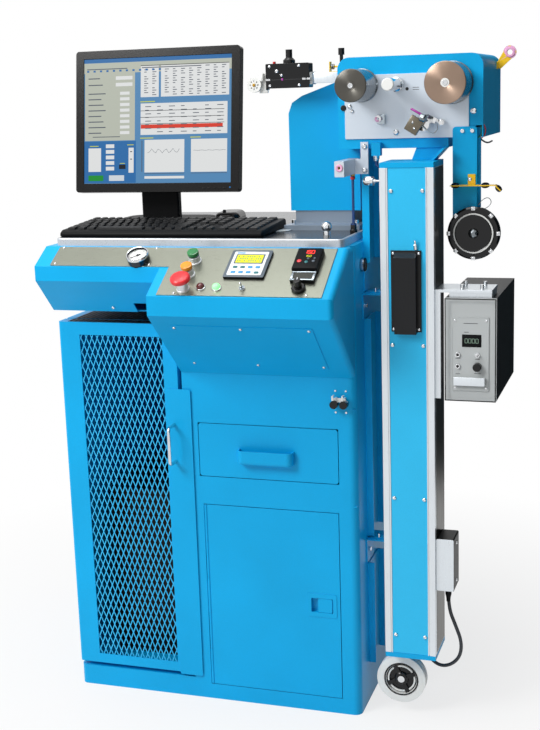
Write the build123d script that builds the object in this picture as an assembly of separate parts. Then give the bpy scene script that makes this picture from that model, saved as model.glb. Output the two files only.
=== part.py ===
from build123d import *
import math
import os

# Draw force tester: a sheet-metal cabinet with a sloping control console, a godet head on an
# upright frame, a heated column with its return pulley, and the instruments that hang on them.
# Millimetres. +X right, the front faces -Y, +Z up. Origin: centre of the underside, on the floor.

# Cabinet
CAB_HALF = 358.0            # half the width
CAB_FRONT = -300.0
CAB_BACK = 300.0
CAB_TOP = 1098.0            # underside of the worktop
SHEET = 2.0                 # cabinet sheet
CORNER_R = 18.0             # rounded front right edge
RIGHT_X0 = -53.0            # left side of the full-height section
PLINTH_H = 50.0
SHELF_Z = (510.0, 735.0)    # shelves under and over the drawer

# Computer bay with its mesh door
BAY_X1 = -62.0
BAY_Z0 = 61.0
BAY_Z1 = 917.0
DOOR_FRONT = -302.3         # front of the mesh door's frame
DOOR_DEPTH = 40.0
DOOR_SHEET = 1.6
HINGE_R = 3.5               # knuckle
PIN_R = 1.5
PIN_FIT = 0.05              # radial clearance of a hinge pin
MESH_X = (54.0 - CAB_HALF, -96.0)    # window in the door
MESH_Z = (85.0, 887.0)
MESH_PITCH_X = 14.0
MESH_PITCH_Z = 34.0
STRAND_W = 2.4
STRAND_T = 0.8
FLAP_X = (-90.0, -32.0)     # strip that laps over the cabinet front
FLAP_Z = (56.0, 766.0)
HANDLE_X = -75.0
HANDLE_Z = (593.0, 681.0)
HANDLE_R = 4.0
HANDLE_REACH = 36.0

# Storage door, its latch and the drawer
SDOOR_X = (-4.0, CAB_HALF - 45.0)
SDOOR_Z = (39.0, 491.0)
SDOOR_T = 16.0
FRONT_GAP = 1.5             # gap round the door and the drawer front
SHINGE_X = -8.0             # axis of the piano hinge
SHINGE_DEPTH = 2.8          # behind the cabinet front
LATCH_X = (CAB_HALF - 114.0, CAB_HALF - 62.0)
LATCH_Z = (248.0, 283.0)
LATCH_POCKET = 11.0
PADDLE_T = 2.5
DRAWER_X = (-17.0, CAB_HALF - 43.0)
DRAWER_Z = (561.0, 687.0)
DRAWER_DEEP = 380.0
DRAWER_WALL = 1.6
RUNNER_GAP = 0.3
PULL_X = (81.0, 213.0)
PULL_Z = (597.0, 631.0)
PULL_REACH = 22.0
PULL_WALL = 3.0

# Console: two lips at different depths share one sloping panel
LIP_Y = -478.0
LIP_Z = (968.0, 1011.0)
PANEL_SLOPE = 0.6           # rise over run
CONSOLE_BASE_Z = 806.0
WING_LIP_Y = -396.0
WING_LIP_H = 33.0
WING_BASE = (-318.0, 947.0)
CONSOLE_SHEET = 2.5
CONSOLE_R = 12.0            # rounded right side
PLATE_T = 2.0
PLATE_X = (38.0 - CAB_HALF, -31.0, CAB_HALF - 24.0)
PLATE_V = (3.0, 98.0, 165.0)    # up the slope from the lip
ACCESS_X = (-14.0, CAB_HALF - 52.0)
ACCESS_W = (35.0, 203.0)        # down the lower slope from the lip

# Instruments on the panel: across, up the slope
GAUGE_AT = (-109.0, 119.0)
GAUGE_R = 25.0
START_AT = (25.0, 116.0)
RESET_AT = (24.0, 70.0)
STOP_AT = (26.0, 22.0)
COLLAR_R = 12.0
STEM_R = 8.0
STEM_FIT = 0.3
CAP_R = 12.5
STOP_R = 21.5
BUTTON_TRAVEL = 3.5
STOP_TRAVEL = 5.0
LAMP_AT = ((64.0, 28.0), (100.0, 27.0))
LAMP_R = 7.0
TOGGLE_AT = (157.0, 26.0)
TOGGLE_LEAN = 12.0
KNOB_AT = (CAB_HALF - 78.0, 28.0)
KNOB_R = 15.0
DISPLAY_X = (CAB_HALF / 2 - 74.0, CAB_HALF / 2 + 17.0)
DISPLAY_V = (58.0, 149.0)
CONTROLLER_X = (CAB_HALF - 104.0, CAB_HALF - 48.0)
CONTROLLER_V = (78.0, 148.0)
COUNTER_X = (CAB_HALF - 101.0, CAB_HALF - 49.0)
COUNTER_V = (47.0, 76.0)
CUTOUT_FIT = 0.3

# Worktop and what stands on it
TRAY_X = (20.0 - CAB_HALF, CAB_HALF - 15.0)
TRAY_Y = (-326.0, 290.0)
TRAY_T = 18.0
TRAY_TOP = CAB_TOP + TRAY_T
SCREEN_W = 420.0
SCREEN_H = 338.0
SCREEN_T = 24.0
SCREEN_TILT = 8.2
SCREEN_X = -170.0
SCREEN_FOOT = (-120.0, 1203.0)      # Y, Z of its lower front edge
SCREEN_BEZEL = (20.5, 21.0, 19.0)   # sides, bottom, top
TILT_AXIS = (-42.0, 1305.0)
TILT_PIN_R = 5.0
NECK_X = (-238.0, -141.0)
STAND_X = (-318.0, -78.0)
STAND_Y = (-106.0, 84.0)
KEYS_Y = (-302.0, -112.0)
MOUSE_AT = (-12.0, -38.0)
LIFT = 0.3                  # clearance of what is only laid down

# Godet head
HEAD_X = (CAB_HALF - 52.0, CAB_HALF + 264.0)
HEAD_Y = (-205.0, 64.0)
HEAD_Z = (1320.0, 1495.0)
HEAD_R = 26.0
HEAD_SHEET = 2.5
FACE_X = (CAB_HALF - 36.0, CAB_HALF + 234.0)
FACE_Z = (1321.0, 1457.0)
FACE_T = 3.0
FACE_FRONT = HEAD_Y[0] - FACE_T
SPINDLE_Z = 1435.0
FEED_X = CAB_HALF + 3.5
FEED_R = 34.2
FEED_L = 104.0
DRAW_X = CAB_HALF + 199.5
DRAW_R = 43.3
DRAW_L = 91.0
SEP_X = CAB_HALF + 81.0
SEP_R = 13.0
SEP_L = 98.0
SHAFT_R = 8.0
SEP_SHAFT_R = 4.0
SHAFT_FIT = 0.05            # radial clearance in a bearing
RUN_GAP = 1.0               # between a roller and the plate
MOTOR_R = 30.0
MOTOR_L = 90.0

# Upright frame, pedestal and column
CHANNEL_X = (CAB_HALF, CAB_HALF + 16.0)
CHANNEL_Y = (-211.0, -111.0)
CHANNEL_T = 3.0
CHANNEL_Z = ((95.0, 345.0), (412.0, 924.0), (988.0, 1300.0))
BEAM_X1 = CAB_HALF + 190.0
BEAM_Z0 = 1300.0
PED_X = (CAB_HALF - 194.0, CAB_HALF - 28.0)
PED_Y = (-110.0, 60.0)
PED_Z0 = 1157.0
PED_SHEET = 2.0
PED_BASE_X = (CAB_HALF - 198.0, CAB_HALF - 20.0)
KEYS_X = (TRAY_X[0], PED_BASE_X[0] - 8.0)
PED_BASE_Y0 = -157.0
PED_BASE_T = 12.0
BRACKET_Z = (983.0, 408.0)  # tops of the two column brackets
BRACKET_H = 57.0
COL_X = (CAB_HALF + 62.0, CAB_HALF + 177.0)
COL_Y = (-310.0, -192.0)
COL_Z = (162.0, 1275.0)
CAP_T = 11.0
RAIL_W = 17.0
RAIL_D = 15.0
COVER_T = 2.0
HEATER_X = CAB_HALF + 139.0
HEATER_R = 13.0
HEATER_BORE = 5.0
BLACK_X = (CAB_HALF + 85.0, CAB_HALF + 150.0)
BLACK_Z = (916.0, 1091.0)
PULLEY_X = CAB_HALF + 88.0
PULLEY_Z = 87.0
PULLEY_R = 57.0
PULLEY_Y = (-266.0, -240.0)
AXLE_R = 6.0

# Instruments that hang on the column and the head
BOX_X = (CAB_HALF + 177.0, CAB_HALF + 217.0)
BOX_Y = (-300.0, -236.0)
BOX_Z = (328.0, 450.0)
CABLE_D = 8.0
CABLE_PATH = ((22, -268, 315.9), (22, -268, 276), (37, -262, 232), (50, -255, 190),
              (45, -246, 149), (20, -236, 120), (-10, -226, 112), (-38, -215, 132),
              (-38, -215, 161.9))
CABLE_ROUTE = tuple((COL_X[1] + x, y, z) for x, y, z in CABLE_PATH)
AMP_X = (CAB_HALF + 199.0, CAB_HALF + 308.0)
AMP_Y = (-300.0, -5.0)
AMP_Z = (768.0, 990.0)
AMP_PLATE_T = 3.0
ARM_X = (CAB_HALF + 200.0, CAB_HALF + 252.0)
ARM_T = 3.0
ARM_TOP = 1343.0
WHEEL_X = CAB_HALF + 247.0
WHEEL_Z = 1118.0
WHEEL_R = 56.5
WHEEL_T = 16.0

# Thread guides
BLOCK_X = (CAB_HALF - 35.0, CAB_HALF - 14.0)
BLOCK_Y = (-310.0, -180.0)
BLOCK_Z = (1246.0, 1279.0)
TUBE_AT = (CAB_HALF - 25.0, -192.0)
TUBE_R = 3.0
PRE_X = (CAB_HALF - 228.0, CAB_HALF - 127.0)
PRE_Y = (-166.0, -134.0)
PRE_Z = (1435.0, 1489.0)
BAR_Z = (1444.0, 1466.0)
BAR_Y = (-160.0, -140.0)
GPULLEY_AT = (CAB_HALF - 258.0, 1444.0)
GPULLEY_R = 16.5
RING_AT = (CAB_HALF + 293.0, 1498.0)
RING_Y = 0.0
SCREW_R = 3.8
INLET_DEEP = 20.0
REG_AT = (-229.0, 1049.0)   # regulator knob on the right side: Y, Z
REG_STEM_R = 4.0


def block(x, y, z):
    """A box between pairs of limits."""
    size = (x[1] - x[0], y[1] - y[0], z[1] - z[0])
    return Pos((x[0] + x[1]) / 2, (y[0] + y[1]) / 2, (z[0] + z[1]) / 2) * Box(*size)


def rod_x(x0, x1, y, z, radius):
    """A round bar along X."""
    return Pos((x0 + x1) / 2, y, z) * Rot(0, 90, 0) * Cylinder(radius, abs(x1 - x0))


def rod_y(y0, y1, x, z, radius):
    """A round bar along Y."""
    return Pos(x, (y0 + y1) / 2, z) * Rot(90, 0, 0) * Cylinder(radius, abs(y1 - y0))


def rod_z(z0, z1, x, y, radius):
    """A round bar along Z."""
    return Pos(x, y, (z0 + z1) / 2) * Cylinder(radius, abs(z1 - z0))


def prism_x(points, x0, x1):
    """A (Y, Z) outline carried along X."""
    face = make_face(Plane.YZ.offset(x0) * Polyline(*points, close=True))
    return extrude(face, amount=x1 - x0, dir=(1, 0, 0))


def prism_y(points, y0, y1):
    """An (X, Z) outline carried along Y."""
    face = make_face(Plane.XZ.offset(-y0) * Polyline(*points, close=True))
    return extrude(face, amount=y1 - y0, dir=(0, 1, 0))


def slab_y(x, z, y, radius):
    """A plate with rounded corners, seen from the front."""
    sketch = Plane.XZ.offset(-y[0]) * Pos((x[0] + x[1]) / 2, (z[0] + z[1]) / 2) \
        * RectangleRounded(x[1] - x[0], z[1] - z[0], radius)
    return extrude(sketch, amount=y[1] - y[0], dir=(0, 1, 0))


def turned_y(profile, x, z):
    """A (radius, Y) profile turned about an axis along Y."""
    points = [(r, y) for r, y in profile]
    face = make_face(Polyline(*points, close=True))
    return Pos(x, 0, z) * revolve(face, Axis.Y)


# Frame of the sloping panel: local x is +X, local y runs up the slope, local z points out
PANEL_ANGLE = math.atan(PANEL_SLOPE)
PANEL_N = (0, -math.sin(PANEL_ANGLE), math.cos(PANEL_ANGLE))
PANEL = Plane(origin=(0, LIP_Y, LIP_Z[1]), x_dir=(1, 0, 0), z_dir=PANEL_N)
PANEL_TOP_Y = LIP_Y + (CAB_TOP - LIP_Z[1]) / PANEL_SLOPE
LOWER_RUN = CAB_FRONT - LIP_Y
LOWER_DROP = LIP_Z[0] - CONSOLE_BASE_Z
LOWER_N = (0, -LOWER_DROP, -LOWER_RUN)
LOWER = Plane(origin=(0, LIP_Y, LIP_Z[0]), x_dir=(1, 0, 0), z_dir=LOWER_N)


def on_panel(shape, at=(0, 0), height=0.0):
    """Set a shape that was drawn flat onto the sloping panel."""
    return PANEL * Pos(at[0], at[1], height) * shape


def pillar(radius, low, high):
    """A round bar that stands on a panel, between two heights."""
    return Pos(0, 0, (low + high) / 2) * Cylinder(radius, high - low)


def panel_box(x, v, low, high):
    """A box between limits across and up the panel."""
    return Pos((x[0] + x[1]) / 2, (v[0] + v[1]) / 2, (low + high) / 2) \
        * Box(x[1] - x[0], v[1] - v[0], high - low)


def grow(limits, by):
    """A pair of limits moved outwards."""
    return (limits[0] - by, limits[1] + by)


# Cabinet
def knuckles(x, y, z, parts, odd):
    """Every second knuckle of a hinge, bored for its pin."""
    step = (z[1] - z[0]) / parts
    made = []
    for i in range(1 if odd else 0, parts, 2):
        low = z[0] + i * step + 0.4
        high = z[0] + (i + 1) * step - 0.4
        barrel = rod_z(low, high, x, y, HINGE_R) - rod_z(low, high, x, y, PIN_R + PIN_FIT)
        made.append((barrel, low, high))
    return made


SHINGE_Y = CAB_FRONT + SHINGE_DEPTH
DOOR_BACK = DOOR_FRONT + DOOR_DEPTH
BHINGE_X = -CAB_HALF + HINGE_R
BHINGE_Y = DOOR_BACK + HINGE_R + 0.4
BAY_Y0 = BHINGE_Y + HINGE_R + 2.2
HINGE_PARTS = 5


def cabinet_shell():
    body = block((RIGHT_X0, CAB_HALF), (CAB_FRONT, CAB_BACK), (0, CAB_TOP))
    corner = body.edges().filter_by(Axis.Z).sort_by(lambda e: e.center().X - e.center().Y)[-1]
    body = fillet(corner, CORNER_R)
    band = block((-CAB_HALF, RIGHT_X0), (CAB_FRONT, CAB_BACK), (0, PLINTH_H))
    left = band.edges().filter_by(Axis.Z).sort_by(lambda e: -e.center().X - e.center().Y)[-1]
    band = fillet(left, CORNER_R - 3)
    inner = block((RIGHT_X0 + SHEET, CAB_HALF - SHEET), (CAB_FRONT + SHEET, CAB_BACK - SHEET),
                  (SHEET, CAB_TOP - SHEET))
    band_inner = block((-CAB_HALF + SHEET, RIGHT_X0 - SHEET),
                       (CAB_FRONT + SHEET, CAB_BACK - SHEET), (SHEET, PLINTH_H - SHEET))
    inner_corner = inner.edges().filter_by(Axis.Z).sort_by(
        lambda e: e.center().X - e.center().Y)[-1]
    inner = fillet(inner_corner, CORNER_R - SHEET)
    inner_left = band_inner.edges().filter_by(Axis.Z).sort_by(
        lambda e: -e.center().X - e.center().Y)[-1]
    band_inner = fillet(inner_left, CORNER_R - 3 - SHEET)
    shell = (body - inner) + (band - band_inner)
    for z in SHELF_Z:
        shell += block((RIGHT_X0 + SHEET, CAB_HALF - SHEET),
                       (CAB_FRONT + SHEET, CAB_BACK - SHEET), (z - SHEET, z))
    hole_x = (SHINGE_X - HINGE_R - 0.6, SDOOR_X[1] + FRONT_GAP)
    through = (CAB_FRONT - 1, CAB_FRONT + SHEET + 1)
    shell -= block(hole_x, through, grow(SDOOR_Z, FRONT_GAP))
    shell -= block(grow(DRAWER_X, FRONT_GAP), through, grow(DRAWER_Z, FRONT_GAP))
    for barrel, low, high in knuckles(SHINGE_X, SHINGE_Y, SDOOR_Z, HINGE_PARTS, False):
        tab = block((hole_x[0] - 1, SHINGE_X - PIN_R - 0.5),
                    (SHINGE_Y - 1.2, SHINGE_Y + 1.2), (low, high))
        shell += (tab - rod_z(low, high, SHINGE_X, SHINGE_Y, HINGE_R)) + barrel
    runner_z = (DRAWER_Z[0] + 4, DRAWER_Z[0] + 9 - RUNNER_GAP)
    tray_x = grow(DRAWER_X, -22)
    runner_y = (CAB_FRONT + 12, CAB_FRONT + DRAWER_DEEP + 20)
    shell += block((RIGHT_X0 + SHEET, tray_x[0] + 12), runner_y, runner_z)
    shell += block((tray_x[1] - 12, CAB_HALF - SHEET), runner_y, runner_z)
    # sockets in the rear wall: compressed air and mains
    shell += rod_y(CAB_BACK - 22, CAB_BACK + 6, 250, 150, 9)
    shell -= rod_y(CAB_BACK - 16, CAB_BACK + 6, 250, 150, 4)
    shell += block((168, 200), (CAB_BACK - INLET_DEEP, CAB_BACK), (138, 162))
    shell -= block((171, 197), (CAB_BACK - INLET_DEEP + SHEET, CAB_BACK + 1), (141, 159))
    for x, z in ((177, 147), (184, 153), (191, 147)):
        shell += block((x - 1, x + 1), (CAB_BACK - INLET_DEEP, CAB_BACK - 3), (z - 2, z + 2))
    shell -= rod_x(CAB_HALF - SHEET - 1, CAB_HALF + 1, *REG_AT, REG_STEM_R + SHAFT_FIT)
    return shell + computer_bay()


def computer_bay():
    wall_x = (-CAB_HALF, BAY_X1)
    outer = block(wall_x, (BAY_Y0, CAB_BACK), (PLINTH_H, BAY_Z1))
    inner = block(grow(wall_x, -SHEET), (BAY_Y0 - 1, CAB_BACK - SHEET),
                  (PLINTH_H + SHEET, BAY_Z1 - SHEET))
    shell = outer - inner
    for barrel, low, high in knuckles(BHINGE_X, BHINGE_Y, (BAY_Z0 + 60, BAY_Z1 - 60),
                                      HINGE_PARTS, False):
        tab = block((BHINGE_X - HINGE_R, BHINGE_X - PIN_R - 0.2),
                    (BHINGE_Y, BAY_Y0 + 0.5), (low, high))
        shell += (tab - rod_z(low, high, BHINGE_X, BHINGE_Y, HINGE_R)) + barrel
    return shell


def mesh_door():
    door_x = (-CAB_HALF, BAY_X1)
    depth = (DOOR_FRONT, DOOR_BACK)
    door = block(door_x, depth, (BAY_Z0, BAY_Z1))
    left = door.edges().filter_by(Axis.Z).sort_by(lambda e: e.center().X + e.center().Y)[0]
    door = fillet(left, 8)
    pan = block(grow(door_x, -DOOR_SHEET), (DOOR_FRONT + DOOR_SHEET, DOOR_BACK + 1),
                (BAY_Z0 + DOOR_SHEET, BAY_Z1 - DOOR_SHEET))
    pan_left = pan.edges().filter_by(Axis.Z).sort_by(lambda e: e.center().X + e.center().Y)[0]
    door -= fillet(pan_left, 8 - DOOR_SHEET)
    door -= block(MESH_X, (DOOR_FRONT - 1, DOOR_FRONT + 3), MESH_Z)
    flap = slab_y(FLAP_X, FLAP_Z, (DOOR_FRONT - DOOR_SHEET, DOOR_FRONT), 5)
    door += flap
    for barrel, low, high in knuckles(BHINGE_X, BHINGE_Y, (BAY_Z0 + 60, BAY_Z1 - 60),
                                      HINGE_PARTS, True):
        tab = block((BHINGE_X - HINGE_R, BHINGE_X - PIN_R - 0.2),
                    (DOOR_BACK - 2, BHINGE_Y), (low, high))
        door += (tab - rod_z(low, high, BHINGE_X, BHINGE_Y, HINGE_R)) + barrel
    return door


def door_mesh():
    mesh_y = DOOR_FRONT + DOOR_SHEET
    return Compound(children=strands(1, mesh_y) + strands(-1, mesh_y + STRAND_T))


def strands(lean, y0):
    """Slanting strands of the expanded mesh, cut to the window and its border."""
    border = 5.0
    x = grow(MESH_X, border)
    z = grow(MESH_Z, border)
    slope = MESH_PITCH_X / MESH_PITCH_Z * lean
    rise = z[1] - z[0]
    half = STRAND_W / 2 * math.hypot(1, slope)
    window = block(x, (y0, y0 + STRAND_T), z)
    first = math.floor(-abs(slope) * rise / MESH_PITCH_X)
    last = math.ceil(((x[1] - x[0]) + abs(slope) * rise) / MESH_PITCH_X)
    made = []
    for i in range(first, last + 1):
        foot = x[0] + i * MESH_PITCH_X
        points = [(foot - half, z[0]), (foot + half, z[0]),
                  (foot + slope * rise + half, z[1]), (foot + slope * rise - half, z[1])]
        low = min(p[0] for p in points)
        high = max(p[0] for p in points)
        if high < x[0] + 1 or low > x[1] - 1:
            continue
        for solid in (prism_y(points, y0, y0 + STRAND_T) & window).solids():
            if solid.volume > 5:
                made.append(solid)
    return made


def door_handle():
    foot_y = DOOR_FRONT - DOOR_SHEET
    front_y = foot_y - HANDLE_REACH
    path = FilletPolyline((HANDLE_X, foot_y, HANDLE_Z[0]), (HANDLE_X, front_y, HANDLE_Z[0]),
                          (HANDLE_X, front_y, HANDLE_Z[1]), (HANDLE_X, foot_y, HANDLE_Z[1]),
                          radius=10)
    start = Plane(origin=path @ 0, z_dir=path % 0)
    return sweep(start * Circle(HANDLE_R), path=path)


def storage_door():
    y = (CAB_FRONT, CAB_FRONT + SDOOR_T)
    door = block(SDOOR_X, y, SDOOR_Z)
    door -= block(grow(SDOOR_X, -SHEET), (y[0] + SHEET, y[1] + 1), grow(SDOOR_Z, -SHEET))
    frame = slab_y(grow(LATCH_X, 9), grow(LATCH_Z, 11), (y[0] - 1.2, y[0] + SHEET), 5)
    cup = slab_y(grow(LATCH_X, 2), grow(LATCH_Z, 2),
                 (y[0], y[0] + LATCH_POCKET + SHEET), 4)
    door = door + frame + cup - slab_y(LATCH_X, LATCH_Z, (y[0] - 2, y[0] + LATCH_POCKET), 3)
    for barrel, low, high in knuckles(SHINGE_X, SHINGE_Y, SDOOR_Z, HINGE_PARTS, True):
        tab = block((SHINGE_X + PIN_R + 0.5, SDOOR_X[0] + 1),
                    (SHINGE_Y - 1.2, SHINGE_Y + 1.2), (low, high))
        door += (tab - rod_z(low, high, SHINGE_X, SHINGE_Y, HINGE_R)) + barrel
    # pivots of the paddle
    for z in (LATCH_Z[0] + 1.5, LATCH_Z[1] - 1.5):
        door += rod_z(z - 1.7, z + 1.7, PADDLE_AXIS[0], PADDLE_AXIS[1], 1.2)
    return door


PADDLE_AXIS = (LATCH_X[1] - 4.5, CAB_FRONT + 3.0)


def latch_paddle():
    z = (LATCH_Z[0] + 0.6, LATCH_Z[1] - 0.6)
    plate = slab_y((LATCH_X[0] + 16, LATCH_X[1] - 2.6), z,
                   (CAB_FRONT - 0.4, CAB_FRONT - 0.4 + PADDLE_T), 3)
    # the boss is shorter than the plate, clear of the round corners of the pocket
    boss = block((PADDLE_AXIS[0] - 3, PADDLE_AXIS[0] + 3),
                 (CAB_FRONT + 0.5, PADDLE_AXIS[1] + 2.6), grow(z, -1.8))
    bore = rod_z(z[0] - 1, z[1] + 1, PADDLE_AXIS[0], PADDLE_AXIS[1], 1.2 + PIN_FIT)
    return plate + boss - bore


def drawer():
    front = slab_y(DRAWER_X, DRAWER_Z, (CAB_FRONT, CAB_FRONT + SHEET), 6)
    tray_x = grow(DRAWER_X, -22)
    tray_y = (CAB_FRONT + SHEET, CAB_FRONT + DRAWER_DEEP)
    tray_z = (DRAWER_Z[0] + 9, DRAWER_Z[1] - 14)
    tray = block(tray_x, tray_y, tray_z)
    tray -= block(grow(tray_x, -DRAWER_WALL), grow(tray_y, -DRAWER_WALL),
                  (tray_z[0] + DRAWER_WALL, tray_z[1] + 1))
    cup = block(PULL_X, (CAB_FRONT - PULL_REACH, CAB_FRONT), PULL_Z)
    cup = fillet(cup.edges().filter_by(Axis.Z).group_by(Axis.Y)[0], 14)
    cup = fillet(cup.faces().sort_by(Axis.Z)[0].edges().filter_by_position(
        Axis.Y, CAB_FRONT - PULL_REACH, CAB_FRONT - 1), 9)
    hollow = block(grow(PULL_X, -PULL_WALL), (CAB_FRONT - PULL_REACH + PULL_WALL, CAB_FRONT),
                   (PULL_Z[0] + PULL_WALL + 3, PULL_Z[1] + 1))
    hollow = fillet(hollow.edges().filter_by(Axis.Z).group_by(Axis.Y)[0], 11)
    return front + tray + (cup - hollow)


def computer_tower():
    x = (58.0 - CAB_HALF, BAY_X1 - 53.0)
    y, z = (-200.0, 240.0), (PLINTH_H + SHEET, 482.0)
    tower = fillet(block(x, y, z).edges().filter_by(Axis.Z), 6)
    tower -= block(grow(x, -SHEET), grow(y, -SHEET - 3), grow(z, -SHEET))
    bezel_top = z[1] - 20
    for i in range(3):
        low = bezel_top - 48 * (i + 1)
        tower -= block((x[0] + 18, x[1] - 18), (y[0] - 1, y[0] + 2), (low, low + 42))
    return tower


# Console and panel
def console_outline(lip_y, lip_z, base, back, inset):
    """Side outline of the console or its wing, set in by a wall."""
    top = CAB_TOP - inset
    nudge = inset / math.cos(PANEL_ANGLE)
    panel_z = LIP_Z[1] + (lip_y + inset - LIP_Y) * PANEL_SLOPE - nudge
    top_y = LIP_Y + (top + nudge - LIP_Z[1]) / PANEL_SLOPE
    run = base[0] - lip_y
    drop = lip_z - base[1]
    lower = inset * math.hypot(run, drop) / run
    foot_z = lip_z - inset * drop / run + lower
    points = [(lip_y + inset, foot_z), (lip_y + inset, panel_z), (top_y, top), (back, top),
              (back, base[1] + lower)]
    if back > base[0]:
        points.append((base[0], base[1] + lower))
    return points


WING_LIP_TOP = LIP_Z[1] + (WING_LIP_Y - LIP_Y) * PANEL_SLOPE
WING_LIP_LOW = WING_LIP_TOP - WING_LIP_H
CONSOLE_BASE = (CAB_FRONT, CONSOLE_BASE_Z)


def round_side(shape, x, radius):
    """Round the edges of the front that lie in one side plane."""
    edges = shape.edges().filter_by(
        lambda e: e.center().Y < CAB_FRONT - 1 and abs(e.center().X - x) < 0.01)
    return fillet(edges, radius)


def console_housing():
    t = CONSOLE_SHEET
    main = prism_x(console_outline(LIP_Y, LIP_Z[0], CONSOLE_BASE, CAB_FRONT, 0),
                   RIGHT_X0, CAB_HALF)
    main = round_side(main, CAB_HALF, CONSOLE_R)
    wing = prism_x(console_outline(WING_LIP_Y, WING_LIP_LOW, WING_BASE, CAB_BACK - SHEET, 0),
                   -CAB_HALF, RIGHT_X0)
    wing_front = prism_x(console_outline(WING_LIP_Y, WING_LIP_LOW, WING_BASE, CAB_FRONT, 0),
                         RIGHT_X0 - 1, RIGHT_X0 + 6)
    main_in = prism_x(console_outline(LIP_Y, LIP_Z[0], CONSOLE_BASE, CAB_FRONT + 1, t),
                      RIGHT_X0 + t, CAB_HALF - t)
    main_in = round_side(main_in, CAB_HALF - t, CONSOLE_R - t)
    wing_in = prism_x(console_outline(WING_LIP_Y, WING_LIP_LOW, WING_BASE,
                                      CAB_BACK - SHEET - t, t),
                      -CAB_HALF + t, RIGHT_X0 - t)
    shell = main + wing + wing_front
    shell = shell - (main_in & block((RIGHT_X0, CAB_HALF), (LIP_Y, CAB_FRONT),
                                     (CONSOLE_BASE_Z, CAB_TOP))) - wing_in
    # windows under the plate for the instruments, and the one under the access plate
    shell -= on_panel(panel_box((-12, CAB_HALF - 36), (9, 152), -12, 4))
    shell -= on_panel(pillar(GAUGE_R - 1, -12, 4), GAUGE_AT)
    shell -= LOWER * Pos((ACCESS_X[0] + ACCESS_X[1]) / 2, -(ACCESS_W[0] + ACCESS_W[1]) / 2) \
        * Box(ACCESS_X[1] - ACCESS_X[0] - 40, ACCESS_W[1] - ACCESS_W[0] - 40, 12)
    # notch at the lower right of the wing's front
    return shell - block((RIGHT_X0 - 92, RIGHT_X0 - t), (WING_LIP_Y - 1, WING_BASE[0] + 8),
                         (WING_BASE[1] - 1, WING_BASE[1] + 24))


def control_plate():
    x0, x1, x2 = PLATE_X
    v0, v1, v2 = PLATE_V
    plate = panel_box((x0, x2), (v1, v2), 0, PLATE_T) + panel_box((x1, x2), (v0, v2), 0, PLATE_T)
    plate = fillet(plate.edges().filter_by(Axis.Z).sort_by(Axis.X)[0:2], 3)
    for at in (START_AT, RESET_AT, STOP_AT):
        plate -= Pos(*at) * pillar(COLLAR_R - 1 + CUTOUT_FIT, -1, 4)
    plate -= Pos(*GAUGE_AT) * pillar(GAUGE_R - 2 + CUTOUT_FIT, -1, 4)
    for at in LAMP_AT:
        plate -= Pos(*at) * pillar(LAMP_R - 2 + CUTOUT_FIT, -1, 4)
    plate -= Pos(*TOGGLE_AT) * pillar(4.0 + CUTOUT_FIT, -1, 4)
    plate -= Pos(*KNOB_AT) * pillar(3.0 + CUTOUT_FIT, -1, 4)
    for x, v in ((DISPLAY_X, DISPLAY_V), (CONTROLLER_X, CONTROLLER_V), (COUNTER_X, COUNTER_V)):
        plate -= panel_box(grow(x, CUTOUT_FIT - 4), grow(v, CUTOUT_FIT - 4), -1, 4)
    return on_panel(plate)


def access_plate():
    plate = Pos((ACCESS_X[0] + ACCESS_X[1]) / 2, -(ACCESS_W[0] + ACCESS_W[1]) / 2, 0.75) \
        * Box(ACCESS_X[1] - ACCESS_X[0], ACCESS_W[1] - ACCESS_W[0], 1.5)
    return LOWER * fillet(plate.edges().filter_by(Axis.Z), 4)


def gauge_case():
    t = 3.0
    face = PLATE_T + 12
    rim = pillar(GAUGE_R, PLATE_T, face + 6)
    rim = fillet(rim.edges().sort_by(Axis.Z)[-1], 2.5)
    rim -= pillar(GAUGE_R - t, face, face + 7)
    case = rim + pillar(GAUGE_R - 2, -28, PLATE_T)
    spindle = pillar(1.0, face, face + 2.6)
    glass = pillar(GAUGE_R - t, face + 4, face + 5.2)
    return on_panel(case + spindle + glass, GAUGE_AT)


def gauge_needle():
    face = PLATE_T + 12
    hub = pillar(2.6, face + 0.6, face + 2.8) - pillar(1.0 + SHAFT_FIT, face, face + 2.9)
    hand = Pos(8.5, 0, face + 1.4) * Box(17.0, 1.6, 0.8) + Pos(-4.5, 0, face + 1.4) * Box(
        6.0, 3.0, 0.8)
    hand = Rot(0, 0, 215) * (hand - pillar(1.0 + SHAFT_FIT, face, face + 3))
    return on_panel(hand + hub, GAUGE_AT)


def collar(top, depth=30):
    """A chromed collar with its bore for the stem."""
    tube = pillar(COLLAR_R, PLATE_T, top) + pillar(COLLAR_R - 1, -depth, PLATE_T)
    tube += pillar(COLLAR_R + 2, PLATE_T, PLATE_T + 3)
    return tube - pillar(STEM_R + STEM_FIT, -depth + 4, top + 1)


def panel_fittings():
    parts = [on_panel(collar(PLATE_T + 17), START_AT), on_panel(collar(PLATE_T + 17), RESET_AT),
             on_panel(collar(PLATE_T + 20), STOP_AT)]
    for at in LAMP_AT:
        lens = pillar(LAMP_R, PLATE_T, PLATE_T + 9)
        lens = fillet(lens.edges().sort_by(Axis.Z)[-1], 3.5)
        parts.append(on_panel(lens + pillar(LAMP_R - 2, -22, PLATE_T), at))
    bush = pillar(5.5, PLATE_T, PLATE_T + 6) + pillar(4.0, -16, PLATE_T)
    slot = Pos(0, 0, PLATE_T + 4) * Box(4.4, 9.0, 8.0)
    bush -= slot + Pos(0, 0, PLATE_T + 1) * Sphere(2.6)
    parts.append(on_panel(bush, TOGGLE_AT))
    return Compound(children=parts)


def button(radius, low, high, at, dome):
    """A cap on a stem that slides in its collar."""
    cap = pillar(radius, low, high)
    cap = fillet(cap.edges().sort_by(Axis.Z)[-1], dome)
    return on_panel(cap + pillar(STEM_R, -14, low), at)


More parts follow.
